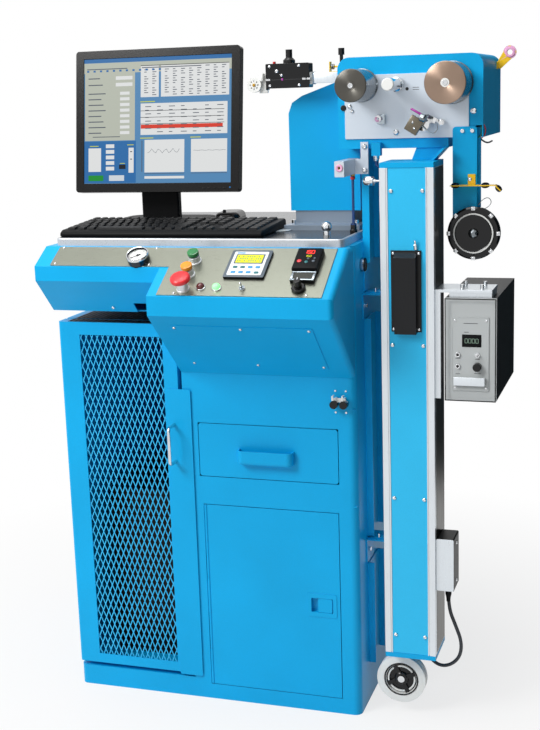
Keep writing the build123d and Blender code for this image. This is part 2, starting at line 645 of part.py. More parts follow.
def start_button():
    return button(CAP_R, PLATE_T + 21, PLATE_T + 28, START_AT, 3)


def reset_button():
    return button(CAP_R, PLATE_T + 21, PLATE_T + 28, RESET_AT, 3)


def stop_button():
    return button(STOP_R, PLATE_T + 26, PLATE_T + 36, STOP_AT, 6)


def panel_toggle():
    """Bat lever, at rest leaning to the lower side."""
    ball = rod_x(-1.4, 1.4, 0, 0, 1.9)
    lever = Pos(0, 0, 9) * Cone(1.5, 2.6, 18)
    tip = Pos(0, 0, 18) * Sphere(2.6)
    return on_panel(Rot(TOGGLE_LEAN, 0, 0) * (ball + lever + tip), TOGGLE_AT, PLATE_T + 1)


def panel_instruments():
    unit = panel_box(DISPLAY_X, DISPLAY_V, PLATE_T, PLATE_T + 6)
    unit = fillet(unit.edges().filter_by(Axis.Z), 3)
    unit -= panel_box(grow(DISPLAY_X, -9), (DISPLAY_V[0] + 40, DISPLAY_V[1] - 9),
                      PLATE_T + 5, PLATE_T + 8)
    unit += panel_box(grow(DISPLAY_X, -4), grow(DISPLAY_V, -4), -40, PLATE_T)
    control = panel_box(CONTROLLER_X, CONTROLLER_V, PLATE_T, PLATE_T + 13)
    control = fillet(control.edges().filter_by(Axis.Z), 2)
    control += panel_box(grow(CONTROLLER_X, -4), grow(CONTROLLER_V, -4), -60, PLATE_T)
    counter = panel_box(COUNTER_X, COUNTER_V, PLATE_T, PLATE_T + 9)
    counter -= panel_box(grow(COUNTER_X, -6), grow(COUNTER_V, -6), PLATE_T + 8, PLATE_T + 10)
    counter += panel_box(grow(COUNTER_X, -4), grow(COUNTER_V, -4), -50, PLATE_T)
    return Compound(children=[on_panel(unit), on_panel(control), on_panel(counter)])


def selector_knob():
    skirt = pillar(KNOB_R, PLATE_T + 0.5, PLATE_T + 8)
    skirt = chamfer(skirt.edges().sort_by(Axis.Z)[-1], 2)
    grip = pillar(8.0, PLATE_T + 8, PLATE_T + 25)
    grip = fillet(grip.edges().sort_by(Axis.Z)[-1], 2)
    return on_panel(skirt + grip + pillar(3.0, -10, PLATE_T + 0.5), KNOB_AT)


# Worktop
def worktop_tray():
    top = block(TRAY_X, TRAY_Y, (CAB_TOP, TRAY_TOP))
    top = fillet(top.edges().filter_by(Axis.Z).group_by(Axis.Y)[0], 14)
    return fillet(top.faces().sort_by(Axis.Z)[-1].edges(), 3)


def screen_frame():
    """Frame of the tilted screen: x across, y up, z out of its front."""
    lean = math.radians(SCREEN_TILT)
    return Plane(origin=(SCREEN_X, SCREEN_FOOT[0], SCREEN_FOOT[1]), x_dir=(1, 0, 0),
                 z_dir=(0, -math.cos(lean), math.sin(lean)))


def monitor_housing():
    side, bottom, top = SCREEN_BEZEL
    half = SCREEN_W / 2
    shell = panel_box((-half, half), (0, SCREEN_H), -SCREEN_T, 0)
    shell = fillet(shell.edges().filter_by(Axis.Z), 8)
    shell -= panel_box((side - half, half - side), (bottom, SCREEN_H - top), -2.5, 1)
    back = Plane((0, SCREEN_H / 2, -SCREEN_T)) * Rectangle(SCREEN_W - 40, SCREEN_H - 40)
    hump = Plane((0, SCREEN_H / 2 - 10, -SCREEN_T - 22)) * Rectangle(260, 190)
    shell += loft([back, hump])
    shell = screen_frame() * shell
    hinge_y, hinge_z = TILT_AXIS
    for x in (NECK_X[0] - 13, NECK_X[1] + 1):
        lug = prism_x([(-74, hinge_z - 14), (hinge_y, hinge_z - 10), (hinge_y + 9, hinge_z),
                       (hinge_y, hinge_z + 10), (-70, hinge_z + 14)], x, x + 12)
        shell += lug
    return shell + rod_x(NECK_X[0] - 13, NECK_X[1] + 13, hinge_y, hinge_z, TILT_PIN_R)


def monitor_stand():
    hinge_y, hinge_z = TILT_AXIS
    base = block(STAND_X, STAND_Y, (TRAY_TOP, TRAY_TOP + 14))
    base = fillet(base.edges().filter_by(Axis.Z), 40)
    base = fillet(base.faces().sort_by(Axis.Z)[-1].edges(), 8)
    neck = block(NECK_X, (hinge_y - 9, hinge_y + 15), (TRAY_TOP + 12, hinge_z + 10))
    neck = fillet(neck.edges().filter_by(Axis.Z), 5)
    neck -= rod_x(NECK_X[0] - 1, NECK_X[1] + 1, hinge_y, hinge_z, TILT_PIN_R + SHAFT_FIT)
    return base + neck


def keyboard():
    z0 = TRAY_TOP
    side = [(KEYS_Y[0], z0), (KEYS_Y[0], z0 + 9), (KEYS_Y[0] + 12, z0 + 15),
            (KEYS_Y[1] - 8, z0 + 24), (KEYS_Y[1], z0 + 20), (KEYS_Y[1], z0)]
    board = prism_x(side, *KEYS_X)
    board = fillet(board.edges().filter_by(Axis.Z), 4)
    row_step = (KEYS_Y[1] - KEYS_Y[0] - 30) / 6
    for row in range(6):
        y0 = KEYS_Y[0] + 14 + row * row_step
        low = z0 + 12 + row * 1.5
        for x in ((KEYS_X[0] + 10, KEYS_X[1] - 190), (KEYS_X[1] - 182, KEYS_X[1] - 118),
                  (KEYS_X[1] - 110, KEYS_X[1] - 12)):
            board += block(x, (y0, y0 + row_step - 2), (low, low + 10))
    return board


def mouse():
    mouse = Pos(MOUSE_AT[0], MOUSE_AT[1], TRAY_TOP) * Rot(0, 0, 6) * Pos(0, 0, 17) * Box(62, 106, 34)
    mouse = fillet(mouse.edges().filter_by(Axis.Z), 24)
    return fillet(mouse.faces().sort_by(Axis.Z)[-1].edges(), 14)


# Pedestal, upright and column
def pedestal_base():
    plate = block(PED_BASE_X, (PED_BASE_Y0, PED_Y[1]), (TRAY_TOP, TRAY_TOP + PED_BASE_T))
    x, y = (PED_X[0] + 10, PED_X[1] - 16), (PED_Y[0] + 4, PED_Y[1] - 4)
    z = (TRAY_TOP + PED_BASE_T, PED_Z0)
    return plate + block(x, y, z) - block(grow(x, -6), grow(y, -6), (z[0], z[1] + 1))


PED_SLOPE = [(PED_X[0] + 114.0, 1445.0), (PED_X[0] + 33.0, 1417.0), (PED_X[0] + 9.0, 1402.0),
             (PED_X[0], 1378.0)]


def pedestal_outline(inset):
    x0, x1 = PED_X[0] + inset, PED_X[1] - inset
    head_x = HEAD_X[0] - 0.4 - inset
    slope = (PED_SLOPE[0][1] - PED_SLOPE[1][1]) / (PED_SLOPE[0][0] - PED_SLOPE[1][0])
    top_z = PED_SLOPE[0][1] + (head_x - PED_SLOPE[0][0]) * slope - inset
    shoulder = BEAM_Z0 - inset
    return [(x0, PED_Z0 + inset), (x1, PED_Z0 + inset), (x1, shoulder), (head_x, shoulder),
            (head_x, top_z), (PED_SLOPE[1][0] + inset / 2, PED_SLOPE[1][1] - inset),
            (PED_SLOPE[2][0] + inset, PED_SLOPE[2][1] - inset), (x0, PED_SLOPE[3][1])]


def pedestal_shell():
    return prism_y(pedestal_outline(0), *PED_Y) \
        - prism_y(pedestal_outline(PED_SHEET), PED_Y[0] + PED_SHEET, PED_Y[1] - PED_SHEET)


def upright_frame():
    x0, x1 = CHANNEL_X
    y0, y1 = CHANNEL_Y
    t = CHANNEL_T
    parts = []
    for i, z in enumerate(CHANNEL_Z):
        channel = block((x0, x1), (y0, y1), z) - block((x0 + t, x1 + 1), (y0 + t, y1 - t), z)
        if i == len(CHANNEL_Z) - 1:
            channel -= block((x0 + t, x1 + 1), (y0 - 1, y1 + 1), (z[0] - 1, z[0] + 62))
        parts.append(channel)
    beam = block((HEAD_X[0], BEAM_X1), (HEAD_Y[0], HEAD_Y[1] - 4), (BEAM_Z0, HEAD_Z[0]))
    hanger_y = (HEAD_Y[0] + 4, COL_Y[1] + 40)
    hanger = prism_y([(COL_X[0] + 48, COL_Z[1]), (COL_X[0] + 102, COL_Z[1]), (BEAM_X1, BEAM_Z0),
                      (COL_X[0] + 58, BEAM_Z0)],
                     COL_Y[1] - 10, COL_Y[1] - 4)
    hanger += prism_y([(COL_X[0] + 98, COL_Z[1]), (COL_X[0] + 104, COL_Z[1]), (BEAM_X1, BEAM_Z0),
                       (BEAM_X1 - 7, BEAM_Z0)],
                      COL_Y[1] - 60, COL_Y[1] - 4)
    return Compound(children=[parts[0], parts[1], parts[2] + beam + hanger])


def column_brackets():
    parts = []
    y = (CHANNEL_Y[0] - 15, CHANNEL_Y[0] + 52)
    leg = 3.0
    for z in BRACKET_Z:
        wall = block((CAB_HALF, CAB_HALF + leg), y, (z - BRACKET_H, z))
        shelf = block((CAB_HALF, COL_X[0]), y, (z - leg, z))
        parts.append(fillet((wall + shelf).edges().filter_by(Axis.Y).sort_by(
            lambda e: e.center().X - e.center().Z)[0], 2.5))
        upper = block((COL_X[0] - 46, COL_X[0]), (y[0] + 8, COL_Y[1] - 2), (z, z + leg))
        upper += block((COL_X[0] - leg, COL_X[0]), (y[0] + 8, COL_Y[1] - 2), (z, z + 24))
        parts.append(upper)
    return Compound(children=parts + [amplifier_bracket()])


def column_frame():
    z = (COL_Z[0] + CAP_T, COL_Z[1] - CAP_T)
    t = 2.5
    body = block(COL_X, COL_Y, z)
    body -= block(grow(COL_X, -t), (COL_Y[0] + RAIL_D, COL_Y[1] - t), (z[0] - 1, z[1] + 1))
    body -= block(grow(COL_X, -RAIL_W), (COL_Y[0] - 1, COL_Y[0] + RAIL_D + 1),
                  (z[0] - 1, z[1] + 1))
    # groove down each front rail
    for x in (COL_X[0] + RAIL_W - 4, COL_X[1] - RAIL_W + 2):
        body -= block((x, x + 2), (COL_Y[0] - 1, COL_Y[0] + 2), z)
    # slot that the cover sits in
    return body


def column_cover():
    gap = 0.3
    return block(grow(COL_X, -RAIL_W - gap), (COL_Y[0] + 1, COL_Y[0] + 1 + COVER_T),
                 (COL_Z[0] + CAP_T + gap, COL_Z[1] - CAP_T - gap))


def column_end_caps():
    top = block(grow(COL_X, 0), COL_Y, (COL_Z[1] - CAP_T, COL_Z[1]))
    top -= rod_z(COL_Z[1] - CAP_T - 1, COL_Z[1] + 1, HEATER_X, PULLEY_MID, HEATER_BORE + 2)
    bottom = block(COL_X, COL_Y, (COL_Z[0], COL_Z[0] + CAP_T))
    bottom -= block((HEATER_X - 9, HEATER_X + 9), (PULLEY_MID - 7, PULLEY_MID + 7),
                    (COL_Z[0] - 1, COL_Z[0] + CAP_T + 1))
    arm_y = (PULLEY_Y[1] + 2, PULLEY_Y[1] + 8)
    arm = block((PULLEY_X - 15, PULLEY_X + 15), arm_y, (PULLEY_Z, COL_Z[0]))
    arm += rod_y(*arm_y, PULLEY_X, PULLEY_Z, 15)
    axle = rod_y(PULLEY_Y[0] + 1, arm_y[1], PULLEY_X, PULLEY_Z, AXLE_R)
    axle += rod_y(PULLEY_Y[1] + 0.4, arm_y[0], PULLEY_X, PULLEY_Z, AXLE_R + 4)
    return Compound(children=[top, bottom + arm + axle])


PULLEY_MID = (PULLEY_Y[0] + PULLEY_Y[1]) / 2


def return_pulley():
    y0, y1 = PULLEY_Y
    mid = PULLEY_MID
    wheel = turned_y([(AXLE_R + SHAFT_FIT, y0 + 3), (14, y0 + 3), (14, y0 + 7), (36, y0 + 7),
                      (36, y0 + 1), (40, y0), (PULLEY_R, y0), (PULLEY_R, mid - 4),
                      (PULLEY_R - 5, mid), (PULLEY_R, mid + 4), (PULLEY_R, y1), (40, y1),
                      (36, y1 - 7), (14, y1 - 7), (14, y1), (AXLE_R + SHAFT_FIT, y1)],
                     PULLEY_X, PULLEY_Z)
    hole = Pos(25.5, 0, 0) * Rot(90, 0, 0) * Cylinder(7.5, 60)
    for i in range(4):
        angle = 20 + 90 * i
        wheel -= Pos(PULLEY_X, mid, PULLEY_Z) * Rot(0, angle, 0) * hole
    return wheel


def heater_tube():
    return rod_z(COL_Z[0] + CAP_T, COL_Z[1] - CAP_T, HEATER_X, PULLEY_MID, HEATER_R) \
        - rod_z(COL_Z[0], COL_Z[1], HEATER_X, PULLEY_MID, HEATER_BORE)


def heater_cover():
    y1 = COL_Y[0] + 1
    plate = block(BLACK_X, (y1 - 3, y1), BLACK_Z)
    mid_x = grow(BLACK_X, -9)
    hump = prism_x([(y1 - 3, BLACK_Z[0] - 3), (y1 - 18, BLACK_Z[0] - 3),
                    (y1 - 18, BLACK_Z[1] - 14), (y1 - 3, BLACK_Z[1] - 4)], *mid_x)
    return plate + hump


def control_box():
    box = block(BOX_X, BOX_Y, BOX_Z)
    box = fillet(box.edges().filter_by(Axis.Y), 3)
    x, y, z = CABLE_ROUTE[0]
    gland = rod_z(z, BOX_Z[0], x, y, CABLE_D / 2 + 3)
    return box + gland


def cable_radii(points):
    """Arc at each corner: as large as the two runs beside it allow."""
    radii = []
    for a, b, c in zip(points, points[1:], points[2:]):
        into = Vector(*b) - Vector(*a)
        out = Vector(*c) - Vector(*b)
        half = math.radians(into.get_angle(out)) / 2
        radii.append(0.45 * min(into.length, out.length) / math.tan(half))
    return radii


def control_cable():
    radii = cable_radii(CABLE_ROUTE)
    print("cable radii", [round(r, 1) for r in radii])
    path = FilletPolyline(*CABLE_ROUTE, radius=radii)
    start = Plane(origin=path @ 0, z_dir=path % 0)
    tube = sweep(start * Circle(CABLE_D / 2), path=path)
    print("cable length", round(path.length, 1), "volume ratio",
          round(tube.volume / (math.pi * CABLE_D ** 2 / 4 * path.length), 4))
    return tube


# Godet head
def head_housing():
    x0, x1 = HEAD_X
    z0, z1 = HEAD_Z
    body = block(HEAD_X, HEAD_Y, HEAD_Z)
    body = fillet(body.edges().filter_by(Axis.Y).group_by(Axis.Z)[-1], HEAD_R)
    t = HEAD_SHEET
    inner = block(grow(HEAD_X, -t), grow(HEAD_Y, -t), grow(HEAD_Z, -t))
    inner = fillet(inner.edges().filter_by(Axis.Y).group_by(Axis.Z)[-1], HEAD_R - t)
    body -= inner
    for x, r in SPINDLES:
        body -= rod_y(HEAD_Y[0] - 1, HEAD_Y[0] + t + 1, x, SPINDLE_Z, r + 3.5)
    return body - block((ARM_X[1] - ARM_T - 0.4, x1 - t), (HEAD_Y[0] - 1, HEAD_Y[0] + 20),
                        (z0 - 1, ARM_TOP + 2))


SPINDLES = ((FEED_X, SHAFT_R), (DRAW_X, SHAFT_R), (SEP_X, SEP_SHAFT_R))


def face_plate():
    plate = slab_y(FACE_X, FACE_Z, (FACE_FRONT, HEAD_Y[0]), 2)
    for x, r in SPINDLES:
        plate -= rod_y(FACE_FRONT - 1, HEAD_Y[0] + 1, x, SPINDLE_Z, r + 3.5)
    return plate


def spindle_drives():
    """Bearing flange and motor behind the plate, and the motor of the pin wheel."""
    parts = []
    for x, r in SPINDLES:
        y0 = HEAD_Y[0]
        radius = MOTOR_R if r > SEP_SHAFT_R else 14.0
        length = MOTOR_L if r > SEP_SHAFT_R else 40.0
        flange = rod_y(FACE_FRONT + 0.5, y0 + 3, x, SPINDLE_Z, r + 3.2)
        body = rod_y(y0 + HEAD_SHEET, y0 + length, x, SPINDLE_Z, radius)
        bore = rod_y(FACE_FRONT - 1, y0 + 25, x, SPINDLE_Z, r + SHAFT_FIT)
        parts.append(body + flange - bore)
    y0 = ARM_BACK
    hub = rod_y(y0, y0 + 46, WHEEL_X, WHEEL_Z, 24)
    parts.append(hub - rod_y(y0 - 1, y0 + 20, WHEEL_X, WHEEL_Z, SHAFT_R / 2 + SHAFT_FIT))
    return Compound(children=parts)


def godet(x, radius, length):
    front = FACE_FRONT - RUN_GAP - length
    back = FACE_FRONT - RUN_GAP
    shell = turned_y([(0, front + 2), (6, front + 2), (8, front), (radius - 1.5, front),
                      (radius, front + 1.5), (radius, back - 6), (radius + 1.5, back - 5),
                      (radius + 1.5, back), (SHAFT_R, back), (SHAFT_R, HEAD_Y[0] + 24),
                      (0, HEAD_Y[0] + 24)], x, SPINDLE_Z)
    return shell


def feed_godet():
    return godet(FEED_X, FEED_R, FEED_L)


def draw_godet():
    return godet(DRAW_X, DRAW_R, DRAW_L)


def separator_roller():
    front = FACE_FRONT - RUN_GAP - SEP_L
    back = FACE_FRONT - RUN_GAP
    return turned_y([(0, front), (SEP_R - 2.5, front), (SEP_R - 1.5, front + 1),
                     (SEP_R - 1.5, front + 6), (SEP_R, front + 7), (SEP_R, back - 4),
                     (SEP_R + 2, back - 3), (SEP_R + 2, back), (SEP_SHAFT_R, back),
                     (SEP_SHAFT_R, HEAD_Y[0] + 24), (0, HEAD_Y[0] + 24)], SEP_X, SPINDLE_Z)


def tension_sensor():
    """Measuring head on its stud, turned to meet the thread."""
    x, z = FACE_X[1] - 106, 1350.0
    front = FACE_FRONT - 60
    stud = rod_y(front + 26, FACE_FRONT, x + 12, z + 2, 7)
    cell = rod_y(front + 14, front + 44, x + 16, z + 1, 14)
    body = Pos(x, front + 10, z) * Rot(0, 32, 0) * Box(23, 20, 26)
    clamp = Pos(x + 31, FACE_FRONT - 14, 1360) * Rot(0, 25, 0) * Box(18, 14, 12)
    foot = rod_y(FACE_FRONT - 12, FACE_FRONT, x + 50, 1353, 7)
    link = Pos(x + 40, FACE_FRONT - 8, 1357) * Rot(0, 20, 0) * Box(24, 6, 7)
    return Compound(children=[body + cell + stud, clamp + foot + link])


def guide_block():
    block_body = block(BLOCK_X, BLOCK_Y, BLOCK_Z)
    eye = rod_y(BLOCK_Y[0] - 1, BLOCK_Y[0] + 3, EYE_X, EYE_Z, EYE_R)
    block_body -= eye + rod_y(BLOCK_Y[0], BLOCK_Y[1], EYE_X, EYE_Z, 2.5)
    plate_y = (CHANNEL_Y[0] - 3, CHANNEL_Y[0])
    plate = block((BLOCK_X[1], CHANNEL_X[1]), plate_y, BLOCK_Z)
    plate += block((CHANNEL_X[0] - 1, CHANNEL_X[1]), plate_y, (BLOCK_Z[0], BLOCK_Z[1] + 36))
    return block_body + plate


EYE_X = (BLOCK_X[0] + BLOCK_X[1]) / 2
EYE_Z = BLOCK_Z[0] + 19
EYE_R = 8.0


def ring(x, y, z, radius, bore, thick, turn=(90, 0, 0)):
    """A guide ring with its bore."""
    return Pos(x, y, z) * Rot(*turn) * (Cylinder(radius, thick) - Cylinder(bore, thick + 1))


def yarn_guides():
    parts = []
    # arm at the top right of the head, with its ceramic ring
    wall_x = HEAD_X[1]
    tab = block((wall_x, wall_x + 3), (RING_Y - 6, RING_Y + 8), (1462, 1478))
    arm = prism_y([(wall_x, 1466), (wall_x + 8, 1462), (RING_AT[0] + 13, RING_AT[1] - 6),
                   (RING_AT[0] - 8, RING_AT[1] + 12), (wall_x, 1476)], RING_Y - 1.5, RING_Y + 1.5)
    arm += rod_y(RING_Y - 1.5, RING_Y + 1.5, *RING_AT, 14.5)
    arm -= rod_y(RING_Y - 3, RING_Y + 3, *RING_AT, 11)
    parts.append(arm + tab)
    parts.append(ring(RING_AT[0], RING_Y, RING_AT[1], 11, 6, 6))
    # strip on the arm of the pin wheel, with three eyelets
    y = (ARM_FRONT - 26, ARM_FRONT)
    x0 = ARM_X[0] - 2
    strip = block((x0, x0 + 96), y, (1219, 1221)) \
        + block((x0 + 35, x0 + 51), (y[1] - 2, y[1]), (1219, 1243))
    end = Pos(x0 + 96, (y[0] + y[1]) / 2, 1220) * Rot(0, 45, 0) * Pos(8, 0, 0) * Box(16, 26, 2)
    strip += end
    eyelet_y = y[0] + 11
    for x in (x0 + 10, x0 + 74):
        strip -= rod_z(1215, 1225, x, eyelet_y, 6)
        parts.append(ring(x, eyelet_y, 1220, 8.5, 3, 2, (0, 0, 0)) - block(
            (x - 9, x + 9), (eyelet_y - 9, eyelet_y + 9), (1219, 1221)) + ring(
            x, eyelet_y, 1220, 6, 3, 6, (0, 0, 0)))
    parts.append(strip)
    # eye in the guide block and the small guide on the face plate
    parts.append(ring(EYE_X, BLOCK_Y[0] + 1, EYE_Z, EYE_R, 2.5, 4))
    stem = rod_y(FACE_FRONT - 22, FACE_FRONT, FACE_X[0] + 82, 1360, 3)
    parts.append(stem + ring(FACE_X[0] + 79, FACE_FRONT - 24, 1364, 7, 3, 5))
    # rod guide above the sensor
    pin = Pos(FACE_X[1] - 99, FACE_FRONT - 40, 1375) * Rot(0, 30, 0) * Rot(0, 90, 0) * Cylinder(1.8, 34)
    foot = rod_y(FACE_FRONT - 41.5, FACE_FRONT, FACE_X[1] - 87, 1368.5, 2.2)
    parts.append(pin + foot)
    return Compound(children=parts + [disc_tensioner()])


def air_line():
    """Blue hose from the worktop to the guide block, and the jet under the head."""
    x, y = TUBE_AT
    lower = rod_z(TRAY_TOP, TRAY_TOP + 20, x, y, 6.5)
    upper = rod_z(BLOCK_Z[0] - 12, BLOCK_Z[0], x, y, 4.5)
    hose = rod_z(TRAY_TOP + 20, BLOCK_Z[0] - 12, x, y, TUBE_R)
    jet_y = HEAD_Y[0] - 9
    jet_x = CHANNEL_X[1] + 18
    body = block((jet_x - 9, jet_x + 11), (HEAD_Y[0] - 17, HEAD_Y[0]), (1285, 1313))
    nozzle = rod_z(1274, 1285, jet_x, jet_y, 6)
    elbow_start = Plane(origin=(jet_x, jet_y, 1274), z_dir=(0, 0, -1))
    bend = FilletPolyline((jet_x, jet_y, 1274), (jet_x, jet_y, 1263),
                          (jet_x + 12, jet_y + 3, 1260.5), radius=6)
    elbow = sweep(elbow_start * Circle(3.5), path=bend)
    return Compound(children=[lower, upper, hose, body, nozzle, elbow])


def pretension_unit():
    box = fillet(block(PRE_X, PRE_Y, PRE_Z).edges().filter_by(Axis.Y), 3)
    box -= rod_z(PRE_Z[1] - 14, PRE_Z[1] + 1, PRE_KNOB_X, PRE_MID, SEP_SHAFT_R + SHAFT_FIT)
    collar_part = block((PRE_X[1], PRE_X[1] + 7), (BAR_Y[0] - 3, BAR_Y[1] + 3),
                        (BAR_Z[0] - 1, BAR_Z[1] + 1))
    bar = block((PRE_X[1] + 7, HEAD_X[0]), BAR_Y, BAR_Z)
    hanger = block((PRE_X[0] - 20, PRE_X[0]), (PRE_MID - 2, PRE_MID + 2), (1426, 1470))
    hanger += block((PRE_X[0] - 2, PRE_X[0]), (PRE_MID - 10, PRE_MID + 10), (1432, 1466))
    pin = rod_y(PRE_MID - 2 - 9, PRE_MID, *GPULLEY_AT, 2.5)
    post = block((GPULLEY_AT[0] - 6, PRE_X[0] - 18), (PRE_MID - 2, PRE_MID + 2), (1438, 1450))
    return Compound(children=[box, collar_part, bar, hanger + post + pin])


PRE_MID = (PRE_Y[0] + PRE_Y[1]) / 2
PRE_KNOB_X = 181.0


def pretension_knob():
    z = PRE_Z[1]
    grip = rod_z(z + 0.5, z + 12, PRE_KNOB_X, PRE_MID, 13.5)
    grip = chamfer(grip.edges().sort_by(Axis.Z)[-1], 5)
    top = rod_z(z + 12, z + 30, PRE_KNOB_X, PRE_MID, 7.5)
    return grip + top + rod_z(z - 13, z + 0.5, PRE_KNOB_X, PRE_MID, SEP_SHAFT_R)


def guide_pulley():
    y1 = PRE_MID - 2 - 0.5
    y0 = y1 - 8
    mid = (y0 + y1) / 2
    r = GPULLEY_R
    wheel = turned_y([(2.5 + SHAFT_FIT, y0), (r, y0), (r, mid - 2.5), (r - 3, mid),
                      (r, mid + 2.5), (r, y1), (2.5 + SHAFT_FIT, y1)], *GPULLEY_AT)
    hole = Pos(9, 0, 0) * Rot(90, 0, 0) * Cylinder(1.8, 20)
    for i in range(8):
        wheel -= Pos(GPULLEY_AT[0], mid, GPULLEY_AT[1]) * Rot(0, 45 * i, 0) * hole
    return wheel


def disc_tensioner():
    """Yellow angle with its disc tensioner, left of the head."""
    x0 = HEAD_X[0] - 43
    y = (-112.0, -98.0)
    angle = block((x0, HEAD_X[0]), y, (1466.5, 1468.5)) + block((x0, x0 + 2), y, (1466.5, 1490))
    pin = rod_x(x0 + 2, TENSION_X - 5, -105, TENSION_Z, 2)
    discs = rod_x(x0 + 5, x0 + 7, -105, TENSION_Z, 6) + rod_x(x0 + 8, x0 + 10, -105,
                                                            TENSION_Z, 6)
    post = block((TENSION_X - 5, TENSION_X + 5), (-110, -100), (1468.5, 1486))
    post -= rod_z(1474, 1487, TENSION_X, -105, 2 + SHAFT_FIT)
    return angle + pin + discs + post


TENSION_X = CAB_HALF - 68.0
TENSION_Z = 1479.0


def tension_knob():
    stem = rod_z(1475, 1489, TENSION_X, -105, 2)
    grip = rod_z(1486.5, 1504, TENSION_X, -105, 4)
    top = rod_z(1504, 1519, TENSION_X, -105, 7)
    return stem + grip + top


# Amplifier, arm and pin wheel
def amplifier_case():
    y = (AMP_Y[0] + AMP_PLATE_T, AMP_Y[1])
    case = block(AMP_X, y, AMP_Z)
    return case - block(grow(AMP_X, -2), (y[0] - 1, y[1] - 2), grow(AMP_Z, -2))


AMP_KNOB = (CAB_HALF + 268.0, 843.0)
AMP_TOGGLE = (CAB_HALF + 268.0, 868.0)


def amplifier_front():
    y = (AMP_Y[0], AMP_Y[0] + AMP_PLATE_T)
    plate = block(AMP_X, y, AMP_Z)
    x, z = (AMP_X[0] + 16, AMP_X[0] + 92), (790.0, 948.0)
    plate += block(x, (y[0] - 1.5, y[0]), z)
    plate -= block((x[0] + 21, x[0] + 60), (y[0] - 2, y[0] + 1), (886, 911))
    plate += block((x[0] + 2, x[1] - 6), (y[0] - 9, y[0] - 1.5), (803, 819)) \
        - block((x[0] + 4, x[1] - 8), (y[0] - 7, y[0] - 1.5), (803, 816))
    board = block(grow(AMP_X, -6), (y[1], y[1] + 120), (AMP_Z[0] + 30, AMP_Z[0] + 32))
    plate += board
    plate -= rod_y(y[0] - 3, y[1] + 1, *AMP_KNOB, 3 + SHAFT_FIT)
    plate -= rod_y(y[0] - 3, y[1] + 1, *AMP_TOGGLE, 2.6)
    return plate


def amplifier_knob():
    y = AMP_Y[0] - 1.5
    grip = rod_y(y - 13, y - 0.4, *AMP_KNOB, 9)
    grip = fillet(grip.edges().sort_by(Axis.Y)[0], 1.5)
    return grip + rod_y(y - 0.4, y + 8, *AMP_KNOB, 3)


def amplifier_toggle():
    y = AMP_Y[0] + 1
    lever = Cone(1.3, 2.2, 12)
    lever = Pos(0, 0, 6) * lever
    tilt = Pos(AMP_TOGGLE[0], y, AMP_TOGGLE[1]) * Rot(90 - TOGGLE_LEAN, 0, 0)
    return tilt * (rod_x(-1.4, 1.4, 0, 0, 1.9) + lever)


def amplifier_bracket():
    bar = block((COL_X[1], AMP_X[1] - 10), (AMP_Y[0], AMP_Y[0] + 85), (AMP_Z[1] + 11,
                                                                       AMP_Z[1] + 17))
    spacer = block((AMP_X[0] + 8, AMP_X[1] - 11), (AMP_Y[0] + 4, AMP_Y[0] + 80),
                   (AMP_Z[1], AMP_Z[1] + 11))
    leg = block((COL_X[1], COL_X[1] + 12), (AMP_Y[0], AMP_Y[0] + 3), (AMP_Z[0] + 2, AMP_Z[1] + 11))
    leg += block((COL_X[1], COL_X[1] + 3), (AMP_Y[0], AMP_Y[0] + 60), (AMP_Z[0] + 2,
                                                                       AMP_Z[1] + 11))
    return bar + spacer + leg


ARM_BACK = FACE_FRONT
ARM_FRONT = ARM_BACK - ARM_T


def drop_arm():
    y = (ARM_FRONT, ARM_BACK)
    front = slab_y(ARM_X, (WHEEL_Z - 30, ARM_TOP), y, 7)
    front += rod_y(*y, WHEEL_X, WHEEL_Z, 40)
    web = block((ARM_X[1] - ARM_T, ARM_X[1]), (y[1], y[1] + 17), (WHEEL_Z + 46, ARM_TOP - 2))
    strip = block((ARM_X[1], ARM_X[1] + 6), (y[1] + 14, y[1] + 17), (WHEEL_Z + 46, ARM_TOP - 2))
    return front + web + strip - rod_y(y[0] - 1, y[1] + 1, WHEEL_X, WHEEL_Z, 6)


def pin_wheel():
    back = ARM_FRONT - RUN_GAP
    front = back - WHEEL_T
    shaft = SHAFT_R / 2
    disc = turned_y([(0, front - 5), (5, front - 4), (10, front - 1), (11, front + 2),
                     (38, front + 1), (40, front), (44, front), (44.5, front + 1.5),
                     (WHEEL_R - 4, front + 2), (WHEEL_R, front + 5), (WHEEL_R, back),
                     (shaft, back), (shaft, ARM_BACK + 19), (0, ARM_BACK + 19)],
                    WHEEL_X, WHEEL_Z)
    for i in range(8):
        pin = Pos(51.5, front + 0.3, 0) * Rot(90, 0, 0) * Cylinder(3.2, 5)
        disc += Pos(WHEEL_X, 0, WHEEL_Z) * Rot(0, 45 * i, 0) * pin
    return disc


# Side fittings
def hook_bracket():
    y0 = CAB_FRONT
    x0 = CAB_HALF - 49
    bar = slab_y((x0, x0 + 30), (755, 764), (y0 - 16, y0 - 12), 3)
    bar += block((x0 + 3, x0 + 7), (y0 - 12, y0), (756, 763)) \
        + block((x0 + 23, x0 + 27), (y0 - 12, y0), (756, 763))
    for x in (x0 + 4, x0 + 26):
        bar += rod_y(y0 - 24, y0 - 8, x, 750, 9)
    return bar


def regulator_knob():
    x0 = CAB_HALF
    grip = rod_x(x0 + 0.5, x0 + 11, *REG_AT, 15)
    grip = fillet(grip.edges().sort_by(Axis.X)[-1], 2)
    return grip + rod_x(x0 - 12, x0 + 0.5, *REG_AT, REG_STEM_R)


def screw_head(plane, radius=SCREW_R, height=2.2):
    """A low domed screw head standing on a plane."""
    face = make_face(Polyline((0, 0), (radius, 0), (radius * 0.8, height * 0.8), (0, height),
                              close=True))
    turned = revolve(Plane.XZ * face, Axis.Z)
    return plane * turned


def front_plane(x, y, z):
    return Plane(origin=(x, y, z), z_dir=(0, -1, 0))


def top_plane(x, y, z):
    return Plane(origin=(x, y, z), z_dir=(0, 0, 1))


